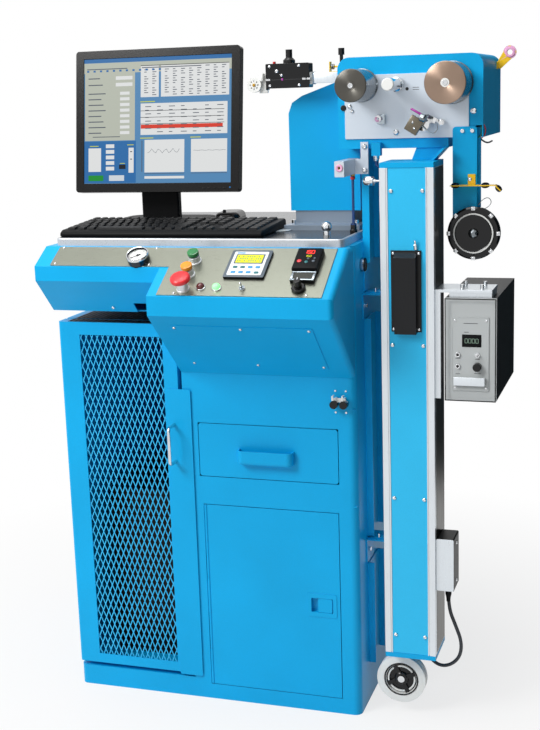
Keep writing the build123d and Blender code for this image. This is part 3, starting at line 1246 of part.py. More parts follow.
def fasteners():
    parts = []
    x0, x1, x2 = PLATE_X
    v0, v1, v2 = PLATE_V
    spots = [(x0 + 11, v2 - 4), (x0 + 11, v1 + 6), (-81, v2 - 4), (-81, v1 + 6), (8, v0 + 6),
             (x2 - 34, v0 + 6)]
    for x, v in spots:
        parts.append(on_panel(screw_head(Plane.XY, 3.2, 2.4), (x, v), PLATE_T))
    for w in (ACCESS_W[0] + 9, ACCESS_W[1] - 9):
        for x in (ACCESS_X[0] + 9, (ACCESS_X[0] + ACCESS_X[1]) / 2, ACCESS_X[1] - 9):
            parts.append(LOWER * Pos(x, -w, 1.5) * screw_head(Plane.XY))
    cover_y = COL_Y[0] + 1
    for z in (COL_Z[0] + 55, 886.0, 1216.0):
        for x in (COL_X[0] + RAIL_W + 7, COL_X[1] - RAIL_W - 7):
            parts.append(screw_head(front_plane(x, cover_y, z)))
    for z in (BLACK_Z[0] + 6, BLACK_Z[1] - 6):
        for x in (BLACK_X[0] + 5, BLACK_X[1] - 5):
            parts.append(screw_head(front_plane(x, cover_y - 3, z), 2.6, 2.0))
    # face plate, arm and guide block
    for x, z, r in ((FACE_X[0] + 11, 1391, 4), (FACE_X[0] + 113, 1334, 6)):
        parts.append(screw_head(front_plane(x, FACE_FRONT, z), r, 3))
    parts.append(screw_head(front_plane(FACE_X[1] + 9, HEAD_Y[0], 1375), 7, 3))
    for x, z in ((ARM_X[0] + 21, 1334), (ARM_X[0] + 42, 1334)):
        parts.append(screw_head(front_plane(x, ARM_FRONT, z), 5, 3.5))
    for z in (BLOCK_Z[0] + 8, BLOCK_Z[1] + 26):
        parts.append(screw_head(front_plane(CHANNEL_X[0] + 8, CHANNEL_Y[0] - 3, z), 5.5, 3))
    # pretension unit
    for x in (PRE_X[0] + 10, PRE_X[1] - 24):
        for z in (PRE_Z[0] + 6, PRE_Z[1] - 6):
            parts.append(screw_head(front_plane(x, PRE_Y[0], z), 3, 2))
    # hold-down bolts of the pedestal, knob and dome nut
    for x in (PED_X[0] + 10, PED_X[1] - 6):
        parts.append(rod_z(TRAY_TOP + PED_BASE_T, TRAY_TOP + PED_BASE_T + 9, x, PED_Y[0] - 14, 5))
    ball_x = TRAY_X[1] - 48
    ball = rod_z(TRAY_TOP, TRAY_TOP + 12, ball_x, -280, 8) \
        + Pos(ball_x, -280, TRAY_TOP + 22) * Sphere(11.5)
    parts.append(ball)
    dome = rod_x(COL_X[0] - 28, COL_X[0], -250, 1233, 3) + rod_x(COL_X[0] - 41, COL_X[0] - 27,
                                                               -250, 1233, 10)
    parts.append(dome)
    # bolts of the amplifier bracket and of the column brackets
    for x in (AMP_X[0] + 34, AMP_X[0] + 76):
        for y in (AMP_Y[0] + 14, AMP_Y[0] + 62):
            parts.append(rod_z(AMP_Z[1] + 17, AMP_Z[1] + 27, x, y, 4))
    for z in BRACKET_Z:
        parts.append(rod_z(z + 3, z + 12, COL_X[0] - 34, CHANNEL_Y[0] - 2, 3.5))
        parts.append(rod_x(CAB_HALF + 3, CAB_HALF + 8, CHANNEL_Y[0], z - 28, 5))
    # hinge pins
    parts.append(rod_z(SDOOR_Z[0], SDOOR_Z[1], SHINGE_X, SHINGE_Y, PIN_R))
    parts.append(rod_z(BAY_Z0 + 60, BAY_Z1 - 60, BHINGE_X, BHINGE_Y, PIN_R))
    # cabinet front
    for x in (CAB_HALF - 46, CAB_HALF - 22):
        for z in (728.0, 777.0):
            parts.append(screw_head(front_plane(x, CAB_FRONT, z), 2.8, 2))
    return Compound(children=parts)


NODES = {
    "cabinet_shell": cabinet_shell, "mesh_door": mesh_door, "door_mesh": door_mesh,
    "door_handle": door_handle, "storage_door": storage_door, "latch_paddle": latch_paddle,
    "drawer": drawer, "computer_tower": computer_tower, "console_housing": console_housing,
    "control_plate": control_plate, "access_plate": access_plate, "gauge_case": gauge_case,
    "gauge_needle": gauge_needle, "panel_fittings": panel_fittings,
    "start_button": start_button, "reset_button": reset_button, "stop_button": stop_button,
    "panel_toggle": panel_toggle, "panel_instruments": panel_instruments,
    "selector_knob": selector_knob, "worktop_tray": worktop_tray,
    "monitor_housing": monitor_housing, "monitor_stand": monitor_stand,
    "keyboard": keyboard, "mouse": mouse, "pedestal_base": pedestal_base,
    "pedestal_shell": pedestal_shell, "upright_frame": upright_frame,
    "column_brackets": column_brackets, "column_frame": column_frame,
    "column_cover": column_cover, "column_end_caps": column_end_caps,
    "return_pulley": return_pulley, "heater_tube": heater_tube, "heater_cover": heater_cover,
    "control_box": control_box, "control_cable": control_cable, "head_housing": head_housing,
    "face_plate": face_plate, "spindle_drives": spindle_drives, "feed_godet": feed_godet,
    "draw_godet": draw_godet, "separator_roller": separator_roller,
    "tension_sensor": tension_sensor, "guide_block": guide_block, "yarn_guides": yarn_guides,
    "air_line": air_line, "pretension_unit": pretension_unit,
    "pretension_knob": pretension_knob, "guide_pulley": guide_pulley,
    "tension_knob": tension_knob,
    "amplifier_case": amplifier_case, "amplifier_front": amplifier_front,
    "amplifier_knob": amplifier_knob, "amplifier_toggle": amplifier_toggle,
    "drop_arm": drop_arm, "pin_wheel": pin_wheel,
    "hook_bracket": hook_bracket, "regulator_knob": regulator_knob, "fasteners": fasteners,
}

os.makedirs("parts", exist_ok=True)
for name, make in NODES.items():
    export_step(make(), f"parts/{name}.step")
print(len(NODES), "nodes")
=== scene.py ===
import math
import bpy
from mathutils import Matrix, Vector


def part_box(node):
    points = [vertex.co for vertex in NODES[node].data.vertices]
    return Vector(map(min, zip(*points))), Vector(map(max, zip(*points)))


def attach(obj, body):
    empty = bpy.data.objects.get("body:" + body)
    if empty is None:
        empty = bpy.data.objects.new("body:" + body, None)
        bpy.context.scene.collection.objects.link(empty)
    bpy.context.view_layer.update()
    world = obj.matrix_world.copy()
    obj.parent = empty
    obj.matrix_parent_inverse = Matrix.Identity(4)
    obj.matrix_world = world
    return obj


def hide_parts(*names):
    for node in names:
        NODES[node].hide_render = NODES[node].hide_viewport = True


bl_info = {
    "name": "Draw force tester",
    "version": (1, 0, 0),
    "blender": (4, 5, 0),
    "location": "View3D > Sidebar > Tester",
    "description": "Finishes and small pieces of a draw force tester",
    "category": "Add Mesh",
}

import bmesh
import bpy
from mathutils import Matrix, Vector

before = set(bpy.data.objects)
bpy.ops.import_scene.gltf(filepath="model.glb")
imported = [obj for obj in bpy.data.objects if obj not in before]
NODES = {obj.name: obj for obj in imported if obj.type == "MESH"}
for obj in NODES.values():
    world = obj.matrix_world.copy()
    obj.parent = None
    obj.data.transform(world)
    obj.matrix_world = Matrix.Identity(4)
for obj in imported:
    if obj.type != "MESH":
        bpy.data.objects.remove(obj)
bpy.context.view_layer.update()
MM = 0.001


def at(*place):
    """A move by millimetres."""
    return Matrix.Translation(Vector(place) * MM)


def spin(degrees, axis):
    """A turn about a main axis."""
    return Matrix.Rotation(math.radians(degrees), 4, axis)


# Planes that pieces are laid out on: the sloping control panel and the leaning screen
PANEL_TILT = math.atan(0.6)
SCREEN_LEAN = math.radians(8.2)
PANEL = at(0, -478, 1011) @ Matrix.Rotation(PANEL_TILT, 4, "X")
SCREEN = at(-170, -120, 1203) @ Matrix.Rotation(math.radians(90) - SCREEN_LEAN, 4, "X")
FRONT = spin(90, "X")
OUT, UP, DOWN, RIGHT = (0, -1, 0), (0, 0, 1), (0, 0, -1), (1, 0, 0)

# Places in mm; those on the panel are measured along and up its plane
PLATE_TOP = 2.0
GAUGE_AT = (-109, 119)
GAUGE_GLASS = 22
BUTTON_RADIUS = 12.7
START_AT, RESET_AT, STOP_AT = (25, 116), (24, 70), (26, 22)
ALARM_AT, READY_AT, TOGGLE_AT, SELECTOR_AT = (64, 28), (100, 27), (157, 26), (280, 28)
SCREEN_X, SCREEN_V = (-189.0, 189.0), (21.5, 318.5)
FACE_Y = -208.0
ROLLER_Z = 1435
FEED_X, SEPARATOR_X, DRAW_X = 361.5, 439, 557.5
FEED_FRONT, SEPARATOR_FRONT, DRAW_FRONT = FACE_Y - 105.0, FACE_Y - 99.0, FACE_Y - 92.0
SENSOR = at(486, FACE_Y - 60.2, 1350) @ spin(32, "Y")
BOX_FRONT = -166.0
COVER_FRONT = -309.0
PULLEY_AT = (446, -266, 87)
WHEEL_X, WHEEL_Z = 605, 1118
WHEEL_FRONT = -228.0
WHEEL_PINS = 53
METER_FRONT = -300.0
BAY_TOP = 917.05
# Scale of the gauge: angle of its zero and of one tick in degrees, edge and ring of numbers
DIAL_ZERO, DIAL_STEP, DIAL_EDGE, DIAL_NUMBERS = 215, 6.25, 19.5, 13.6
CABLE_ROUTE = ((557, -268, 315.9), (557, -268, 276), (572, -262, 232), (585, -255, 190),
               (580, -246, 149), (555, -236, 120), (525, -226, 112), (497, -215, 132),
               (497, -215, 161.9))
# Camera of the photograph: place in m, yaw, pitch and roll in degrees, focal length in mm
CAMERA_AT = (1.0210, -2.9301, 1.4240)
CAMERA_TURN = (18.0897, 12.1147, -1.8568)
FOCAL_LENGTH = 62.30
# Point that the lamps aim at in m, share of the key that the top lamp has, and room light
LAMP_AIM = (0.1, 0, 0.8)
TOP_SHARE = 0.36
ROOM_LIGHT = 0.34


# Finishes
def channels(code):
    """An sRGB hex colour as three parts from 0 to 1."""
    return [int(code[i:i + 2], 16) / 255 for i in (1, 3, 5)]


def linear(colour):
    """An sRGB hex colour, or its three parts, as the linear colour that a shader takes."""
    parts = channels(colour) if isinstance(colour, str) else colour
    return [c / 12.92 if c <= 0.04045 else ((c + 0.055) / 1.055) ** 2.4 for c in parts] + [1.0]


def add(tree, kind, links=None, **settings):
    """Add a shader node, set its fields and sockets, and link what feeds it."""
    made = tree.nodes.new(kind)
    for key, value in settings.items():
        if key.startswith("in_"):
            made.inputs[key[3:].replace("_", " ")].default_value = value
        else:
            setattr(made, key, value)
    for socket, source in (links or {}).items():
        tree.links.new(source, made.inputs[socket])
    return made


FINISHES = {}
# Size in mm of the slow patches of tone, and the black that the lit picture stands on
SLOW_PATCH = 180.0
PICTURE_GROUND = "#0a0b0d"
# A material slot name for each finish of the small pieces; piece() looks it up but gives it to
# nothing
SLOTS = {material: slot for slot, materials in {
    "black_plastic": ("moulded_abs_black", "keycap_abs_black", "phenolic_black",
                      "printing_black", "display_frame_grey", "membrane_blue",
                      "membrane_teal", "oxide_ceramic_violet"),
    "white_plastic": ("acetal_white", "oxide_ceramic_pink", "dial_card_white",
                      "membrane_white"),
    "red_plastic": ("digits_red", "polycarbonate_red", "release_ring_red",
                    "lamp_lens_red", "lamp_lens_lit"),
    "green_plastic": ("polycarbonate_green",),
    "amber_plastic": ("polycarbonate_amber",),
    "black_gloss": ("liquid_crystal_dark",),
    "bright_steel": ("polished_aluminium", "satin_collar", "chromium_plate",
                     "brass_fitting"),
    "dark_steel": ("matt_chrome_shell", "turned_face_steel"),
    "bronze_face": ("turned_face_bronze",),
    "black_metal": ("stove_enamel_black", "lacquer_black", "sensor_housing"),
    "anodised_aluminium": ("anodised_aluminium", "dark_flank_sheet"),
    "grey_paint": ("stove_enamel_grey", "liquid_crystal_grey"),
    "yellow_paint": ("liquid_crystal_yellow",),
    "worktop_laminate": ("worktop_steel",),
}.items() for material in materials}


def finish(name, colour, rough, metal=0.0, grain=1.2, depth=0.04, stretch=(1, 1, 1),
           drift=0.06, edge=0.8, coat=0.0, glow=0.0, spread=0.12, spec=0.5, picture=False):
    """A surface made from a grain in mm, a slow drift of tone, softened edges and a coat."""
    material = bpy.data.materials.new(name)
    material.use_nodes = True
    tree = material.node_tree
    shader = tree.nodes["Principled BSDF"]
    place = add(tree, "ShaderNodeTexCoord").outputs["Object"]
    turned_place = add(tree, "ShaderNodeMapping", {"Vector": place}, in_Scale=stretch).outputs[0]
    fine = add(tree, "ShaderNodeTexNoise", {"Vector": turned_place}, in_Scale=1000 / grain,
               in_Detail=3.0).outputs[0]
    slow = add(tree, "ShaderNodeTexNoise", {"Vector": place}, in_Scale=1000 / SLOW_PATCH,
               in_Detail=4.0).outputs[0]

    def spread_of(noise, low, high):
        """The middle of a noise, drawn out from low to high."""
        return add(tree, "ShaderNodeMapRange", {"Value": noise}, in_From_Min=0.3,
                   in_From_Max=0.7, in_To_Min=low, in_To_Max=high).outputs[0]

    tone = add(tree, "ShaderNodeMath", {0: spread_of(slow, 1 - drift, 1 + drift),
                                        1: spread_of(fine, 1 - drift / 2, 1 + drift / 2)},
               operation="MULTIPLY")
    base = add(tree, "ShaderNodeRGB")
    base.outputs[0].default_value = linear(PICTURE_GROUND if picture else colour)
    shade = add(tree, "ShaderNodeVectorMath", {0: base.outputs[0], 3: tone.outputs[0]},
                operation="SCALE")
    tree.links.new(shade.outputs[0], shader.inputs["Base Color"])
    tree.links.new(spread_of(fine, max(0.02, rough * (1 - spread)),
                             min(1.0, rough * (1 + spread))), shader.inputs["Roughness"])
    bump = add(tree, "ShaderNodeBump", {"Height": fine}, in_Strength=0.5, in_Distance=depth * MM)
    if edge:
        soft = add(tree, "ShaderNodeBevel", samples=4, in_Radius=edge * MM)
        tree.links.new(soft.outputs[0], bump.inputs["Normal"])
    tree.links.new(bump.outputs[0], shader.inputs["Normal"])
    shader.inputs["Metallic"].default_value = metal
    shader.inputs["Specular IOR Level"].default_value = spec
    if coat:
        shader.inputs["Coat Weight"].default_value = coat
        shader.inputs["Coat Roughness"].default_value = 0.12
    if glow:
        shader.inputs["Emission Color"].default_value = linear(colour)
        shader.inputs["Emission Strength"].default_value = glow
    FINISHES[name] = material
    return shader, tree


def turned_face(name, colour):
    """A faced disc: the tool's fine rings stretch each highlight into a bow-tie."""
    shader, tree = finish(name, colour, 0.34, 1.0, grain=0.5, depth=0.006, edge=0)
    shader.inputs["Anisotropic"].default_value = 0.85
    shader.inputs["Anisotropic Rotation"].default_value = 0.25
    turn = add(tree, "ShaderNodeTangent", direction_type="RADIAL", axis="Y")
    tree.links.new(turn.outputs[0], shader.inputs["Tangent"])


def sheet_finishes(colours):
    """Coats and metals of the sheets, profiles and turned pieces."""
    # Powder coat: polyester baked on sheet steel, a fine orange peel and a satin shine
    finish("powder_coat_blue", colours.paint, 0.4, grain=2.2, depth=0.035, drift=0.05, spec=0.22)
    # The mesh is the same blue coat made paler: painted highlight of its lit strands over the
    # dark behind them
    finish("powder_coat_mesh_painted_highlight", colours.mesh, 0.4, grain=2.2, depth=0.03, drift=0.04, spec=0.25)
    # The same coat made paler on the narrow cover, which looks lighter: a painted highlight,
    # standing in for the light the cover reflects
    finish("powder_coat_painted_highlight", [min(1, c * 0.85 + 0.19) for c in colours.paint], 0.4, grain=2.2,
           depth=0.035, drift=0.04, spec=0.22)
    # Stainless sheet, ground lengthways: fine scratches that blur the reflections
    finish("brushed_stainless", "#8f9286", 0.36, 1.0, grain=0.35, stretch=(0.02, 1, 1),
           depth=0.008, drift=0.03, spread=0.25)
    # Aluminium profile, natural anodised: pale, with the drawing lines upright
    finish("anodised_aluminium", "#dde3e8", 0.33, 0.85, grain=1.0, stretch=(1, 1, 0.03),
           depth=0.015, drift=0.04, spread=0.2)
    # Aluminium profile, polished: a soft mirror with the drawing lines still in it
    finish("polished_aluminium", "#a9b4bc", 0.16, 1.0, grain=1.0, stretch=(1, 1, 0.03),
           depth=0.008, drift=0.05)
    # Dark steel sheet on the flank of the column: brown-grey, with soft upright streaks
    finish("dark_flank_sheet", "#47453f", 0.34, 0.7, grain=2.0, stretch=(1, 1, 0.03), depth=0.004)
    # Blackened steel rim of the gauge: dark, with a thin clear highlight
    finish("gauge_rim", "#3b4046", 0.16, 1.0, grain=0.8, depth=0.006, drift=0.04)
    # Nickelled collars of the buttons: white and satin
    finish("satin_collar", "#e2e4e6", 0.42, 0.75, grain=0.6, depth=0.01, drift=0.03)
    # Milled and lacquered aluminium plate of the head: bright and even
    finish("lacquered_aluminium", "#c9d2dc", 0.42, 0.55, grain=0.6, depth=0.01, drift=0.03)
    # Chromium plate: mirror-bright, with a faint ripple of the polish
    finish("chromium_plate", "#d8dadc", 0.09, 1.0, grain=6.0, depth=0.01, drift=0.02, edge=0.4)
    # Hard-chromed godet shells: matt from the blasting
    finish("matt_chrome_shell", "#7c8286", 0.26, 1.0, grain=0.5, depth=0.015, drift=0.08)
    # Dark glossy sheet of the worktop, which mirrors what stands on it
    finish("worktop_steel", "#30363c", 0.2, 0.7, grain=1.2, stretch=(0.04, 1, 1), depth=0.008,
           drift=0.08)
    # Drawn aluminium edge round the worktop: pale and even
    finish("white_edge_strip", "#c3c6ca", 0.3, 0.5, grain=1.5, depth=0.01, drift=0.03)
    # Stove enamel on sheet steel: a dry skin, slightly pebbled
    finish("stove_enamel_black", "#0c0c0c", 0.42, grain=0.9, depth=0.05, drift=0.1, spec=0.2)
    # Black lacquer, polished: deep black with sharp highlights
    finish("lacquer_black", "#07080b", 0.12, grain=2.0, depth=0.004, drift=0.1, spec=0.35)
    # Grey stove enamel of the meter's front: pale and dull
    finish("stove_enamel_grey", "#b9bdbd", 0.5, grain=1.0, depth=0.03, drift=0.03, spec=0.25)
    # Machine grey over steel: a cool half-metal sheen
    finish("pedestal_grey", "#8592a0", 0.35, 0.4, depth=0.02)
    # Yellow enamel on the bent guide strips: warm and smooth
    finish("guide_enamel_yellow", "#f2c40c", 0.3, grain=1.8, depth=0.03, drift=0.05, coat=0.2)
    # Bronze-grey anodised housing of the force sensor: brown in the light, dark in the shade
    finish("sensor_housing", "#6d675b", 0.3, 1.0, grain=0.6, depth=0.01)
    # Brass, turned: yellow metal with warm darks
    finish("brass_fitting", "#c79a3a", 0.25, 1.0, grain=1.0, depth=0.01, drift=0.08)
    # Blackened sheet over the heater: blue-black, half matt
    finish("heat_shield_black", "#0a0c10", 0.3, grain=1.0, depth=0.03, drift=0.1, spec=0.3)
    # Faces of the two godets: turned, bare steel and bronze under lacquer
    turned_face("turned_face_bronze", "#9a8474")
    turned_face("turned_face_steel", "#5c5a55")


def moulded_finishes():
    """Plastics, ceramics, rubber, print and light."""
    # ABS, moulded in a spark-eroded tool: a fine matt grain
    finish("moulded_abs_black", "#08090b", 0.5, grain=0.7, depth=0.05, drift=0.12, spec=0.12)
    finish("keycap_abs_black", "#0b0c0e", 0.42, grain=0.6, depth=0.03, drift=0.1, spec=0.14)
    # Polished ABS of the screen's frame and the mouse: soft wide highlights
    finish("gloss_abs_black", "#0a0909", 0.22, grain=3.0, depth=0.006, drift=0.08, spec=0.22)
    # Acetal, turned: milky white, a little waxy
    finish("acetal_white", "#e8e9e6", 0.35, grain=1.5, depth=0.02, drift=0.04)
    # Phenolic resin, pressed: hard black knobs with a clear shine
    finish("phenolic_black", "#0b0b0c", 0.25, grain=1.0, depth=0.01, drift=0.1, spec=0.35)
    # Polycarbonate caps and lenses, moulded: strong colour under a wet-looking skin
    finish("polycarbonate_green", "#12813f", 0.22, depth=0.01, drift=0.08, coat=0.4)
    finish("polycarbonate_amber", "#f39a12", 0.22, depth=0.01, coat=0.4)
    finish("polycarbonate_red", "#e01b24", 0.3, depth=0.01, drift=0.04, coat=0.2)
    finish("lamp_lens_red", "#5e070d", 0.1, depth=0.01, drift=0.1, coat=0.5)
    finish("lamp_lens_lit", "#8ff09a", 0.15, depth=0.01, drift=0.05, glow=0.9)
    # Sintered oxide thread guides: pink or violet, waxy and very smooth
    finish("oxide_ceramic_pink", "#e8a9cf", 0.22, grain=0.8, depth=0.01, drift=0.05, coat=0.3)
    finish("oxide_ceramic_violet", "#a83a9c", 0.25, grain=0.8, depth=0.01, drift=0.08)
    # Polyurethane hose, extruded: dark blue and half clear
    finish("polyurethane_hose_blue", "#1c3f74", 0.25, grain=2.0, depth=0.01, drift=0.08)
    # Rubber sheath of the cable: grey-black and soft in its shine
    finish("rubber_cable_black", "#3a3d42", 0.5, grain=0.8, depth=0.04, drift=0.1, spec=0.35)
    # Red acetal ring of the hose fitting: a flat signal red
    finish("release_ring_red", "#c8201c", 0.35, grain=1.0, depth=0.01)
    # Printed card and its ink: flat white and flat black
    finish("dial_card_white", "#f4f5f3", 0.5, grain=1.0, depth=0.002, drift=0.01, edge=0)
    finish("printing_black", "#15161a", 0.5, grain=1.0, depth=0.002, drift=0.02, edge=0)
    # Front films and frames of the small instruments: printed polyester over ABS
    finish("display_frame_grey", "#55616c", 0.4, grain=1.0, depth=0.02, drift=0.04)
    finish("membrane_white", "#e9eef2", 0.35, grain=1.5, depth=0.004, drift=0.02)
    finish("membrane_blue", "#2f97cf", 0.35, grain=1.5, depth=0.004, drift=0.03)
    finish("membrane_teal", "#1f6f74", 0.35, grain=1.5, depth=0.004, drift=0.03)
    # Liquid crystal windows: flat, with a little light of their own when lit
    finish("liquid_crystal_yellow", "#d6d800", 0.3, grain=3.0, depth=0.002, drift=0.03, glow=0.25)
    finish("liquid_crystal_grey", "#7f9a88", 0.3, grain=3.0, depth=0.002, drift=0.03)
    finish("liquid_crystal_dark", "#23281f", 0.2, grain=3.0, depth=0.002, drift=0.05)
    # Red light-emitting segments: flat and bright of themselves
    finish("digits_red", "#ff2a1c", 0.4, grain=1.0, depth=0.001, drift=0.02, glow=1.0, edge=0)
    # Lit picture on the screen: each tone is its own light on a black ground
    for tone, colour in (("dark", "#1b1f26"), ("pale", "#dfe7ee"), ("yellow", "#d8e04a"),
                         ("white", "#f2f4f4"), ("sky", "#5b93c4"), ("blue", "#2f74b5"),
                         ("grey", "#c6cbbd"), ("line", "#5a6270"), ("red", "#e8432f"),
                         ("green", "#1f9a35")):
        finish("screen_" + tone, colour, 0.25, depth=0.001, glow=0.8, spec=0.1, picture=True,
               edge=0)
    # Flat glass of the gauge: clear, with a faint reflection only
    shader, _ = finish("instrument_glass", "#ffffff", 0.03, grain=20,
                       depth=0.001, drift=0.0, edge=0)
    shader.inputs["Transmission Weight"].default_value = 1.0
    shader.inputs["IOR"].default_value = 1.12


def paint_node(node, material):
    """Give a frame node its finish."""
    target = NODES[node]
    if not target.data.materials:
        target.data.materials.append(FINISHES[material])
    for i in range(len(target.data.materials)):
        target.data.materials[i] = FINISHES[material]


def paint_part(node, material, low, high, plane=None):
    """Give the faces of a node that lie in a box, in mm, a finish of their own."""
    target = NODES[node]
    target.data.materials.append(FINISHES[material])
    index = len(target.data.materials) - 1
    to_box = (plane.inverted() if plane else Matrix()) @ target.matrix_world
    for face in target.data.polygons:
        spot = to_box @ face.center / MM
        if all(a <= v <= b for a, v, b in zip(low, spot, high)):
            face.material_index = index


NODE_FINISHES = {
    "powder_coat_blue": (
        "cabinet_shell", "mesh_door", "storage_door", "drawer", "console_housing",
        "access_plate", "pedestal_shell", "upright_frame", "column_end_caps", "head_housing",
        "drop_arm", "latch_paddle", "column_brackets"),
    # The column cover takes the paler copy of the blue coat: painted highlight.
    "powder_coat_painted_highlight": ("column_cover",),
    # The door mesh takes the paler copy of the blue coat: painted highlight.
    "powder_coat_mesh_painted_highlight": ("door_mesh",),
    "chromium_plate": ("door_handle", "panel_toggle", "separator_roller", "tension_sensor",
                       "amplifier_toggle", "fasteners"),
    "stove_enamel_black": ("computer_tower", "control_box", "spindle_drives", "amplifier_case"),
    "brushed_stainless": ("control_plate",),
    "gauge_rim": ("gauge_case",),
    "printing_black": ("gauge_needle",),
    "polished_aluminium": ("panel_fittings",),
    "polycarbonate_green": ("start_button",),
    "polycarbonate_amber": ("reset_button",),
    "polycarbonate_red": ("stop_button",),
    "moulded_abs_black": ("panel_instruments", "monitor_stand", "keyboard"),
    "phenolic_black": ("selector_knob", "pretension_knob", "tension_knob", "amplifier_knob",
                       "regulator_knob"),
    "white_edge_strip": ("worktop_tray",),
    "gloss_abs_black": ("monitor_housing", "mouse"),
    "pedestal_grey": ("pedestal_base",),
    "anodised_aluminium": ("column_frame",),
    "acetal_white": ("return_pulley", "guide_pulley", "hook_bracket"),
    "matt_chrome_shell": ("heater_tube", "feed_godet", "draw_godet"),
    "heat_shield_black": ("heater_cover",),
    "rubber_cable_black": ("control_cable",),
    "lacquered_aluminium": ("face_plate", "guide_block"),
    "guide_enamel_yellow": ("yarn_guides",),
    "polyurethane_hose_blue": ("air_line",),
    "lacquer_black": ("pretension_unit", "pin_wheel"),
    "stove_enamel_grey": ("amplifier_front",),
}
# Parts of a node in another finish: the box that holds them, low and high corner
PART_FINISHES = (
    ("column_brackets", "anodised_aluminium", (534.5, -400, 700), (700, 0, 1100)),
    ("yarn_guides", "oxide_ceramic_pink", (638, -4, 1485), (664, 4, 1511)),
    ("yarn_guides", "chromium_plate", (388, -260, 1340), (422, -206, 1380)),
    ("yarn_guides", "oxide_ceramic_violet", (472, -262, 1356), (512, -240, 1398)),
    ("yarn_guides", "matt_chrome_shell", (498, -250, 1358), (512, -206, 1380)),
    ("yarn_guides", "phenolic_black", (556, -236, 1216.5), (576, -216, 1223.5)),
    ("yarn_guides", "phenolic_black", (620, -236, 1216.5), (640, -216, 1223.5)),
    ("yarn_guides", "matt_chrome_shell", (268, -112, 1472.8), (272.5, -98, 1486)),
    ("air_line", "powder_coat_blue", (380, -224, 1284.5), (405, -200, 1315)),
    ("air_line", "chromium_plate", (384, -224, 1273), (400, -204, 1284.6)),
    ("hook_bracket", "phenolic_black", (295, -330, 735), (345, -306, 754.5)),
    ("hook_bracket", "phenolic_black", (295, -330, 735), (345, -317, 775)),
    ("tension_sensor", "turned_face_steel", (470, -290, 1330), (502, -240, 1370)),
)


# Shapes: each function returns one that adds its shape, in mm, to a bmesh
def bar(x, y, z, place=None, corner=0.0, segments=5):
    """A box between limits; corner rounds the four edges along the last axis."""
    def make(bm):
        before = set(bm.verts)
        size = ((x[1] - x[0]) * MM, (y[1] - y[0]) * MM, (z[1] - z[0]) * MM)
        verts = bmesh.ops.create_cube(bm, size=1.0, matrix=Matrix.Diagonal((*size, 1)))["verts"]
        if corner:
            edges = {e for v in verts for e in v.link_edges
                     if abs((e.verts[0].co - e.verts[1].co).normalized().z) > 0.9}
            bmesh.ops.bevel(bm, geom=list(edges), offset=corner * MM, segments=segments,
                            profile=0.5, affect="EDGES", material=-1)
        fresh = [v for v in bm.verts if v not in before]
        middle = at((x[0] + x[1]) / 2, (y[0] + y[1]) / 2, (z[0] + z[1]) / 2)
        bmesh.ops.transform(bm, verts=fresh, matrix=(place or Matrix()) @ middle)
    return make


def front_bar(x, y, z, corner=0.0):
    """The same with the rounded corners seen from the front."""
    return bar(x, (z[0], z[1]), (-y[1], -y[0]), FRONT, corner)


def along(direction):
    """A turn that takes +Z to a direction."""
    return Vector((0, 0, 1)).rotation_difference(Vector(direction).normalized()).to_matrix(
        ).to_4x4()


def disc(centre, direction, radius, length, segments=40, place=None):
    """A round bar that starts at a point and runs in a direction."""
    def make(bm):
        bmesh.ops.create_cone(bm, cap_ends=True, segments=segments, radius1=radius * MM,
                              radius2=radius * MM, depth=length * MM,
                              matrix=(place or Matrix()) @ at(*centre) @ along(direction)
                              @ at(0, 0, length / 2))
    return make


def turned(profile, centre, direction, segments=48, place=None):
    """A (radius, height) profile spun about an axis through a point."""
    def make(bm):
        verts = [bm.verts.new((r * MM, 0, h * MM)) for r, h in profile]
        edges = [bm.edges.new(pair) for pair in zip(verts, verts[1:])]
        bmesh.ops.spin(bm, geom=verts + edges, cent=(0, 0, 0), axis=(0, 0, 1), angle=math.tau,
                       steps=segments, use_merge=True)
        island = set(verts)
        queue = list(verts)
        while queue:
            for edge in queue.pop().link_edges:
                fresh = set(edge.verts) - island
                island |= fresh
                queue.extend(fresh)
        bmesh.ops.remove_doubles(bm, verts=list(island), dist=1e-7)
        bmesh.ops.transform(bm, verts=[v for v in island if v.is_valid],
                            matrix=(place or Matrix()) @ at(*centre) @ along(direction))
    return make


def screw(centre, direction, radius, height):
    """A button-head screw with its socket cut in."""
    socket = radius * 0.45
    return turned([(0.0, height * 0.45), (socket * 0.98, height * 0.45), (socket, height * 0.98),
                   (radius * 0.62, height), (radius * 0.9, height * 0.7), (radius, height * 0.3),
                   (radius, 0.0), (0.0, 0.0)], centre, direction, 24)


# Bars of a seven-bar figure: middle in halves of its width and quarters of its height
FIGURE_BARS = {"a": (0, 2, 0), "g": (0, 0, 0), "d": (0, -2, 0), "f": (-1, 1, 1), "b": (1, 1, 1),
               "e": (-1, -1, 1), "c": (1, -1, 1)}
FIGURES = {"0": "abcdef", "1": "bc", "2": "abged", "4": "fgbc", "5": "afgcd", "6": "afgedc",
           "8": "abcdefg"}


def figure(text, centre, size, level, place, wide=None):
    """A figure built of up to seven bars."""
    wide = wide or size * 0.17
    half, tall = size * 0.3, size / 2

    def make(bm):
        for name in FIGURES[text]:
            across, rise, upright = FIGURE_BARS[name]
            x, y = across * half + centre[0], rise * tall / 2 + centre[1]
            a = (wide, tall) if upright else (half * 2, wide)
            bar((x - a[0] / 2, x + a[0] / 2), (y - a[1] / 2, y + a[1] / 2),
                (level, level + 0.12), place)(bm)
    return make


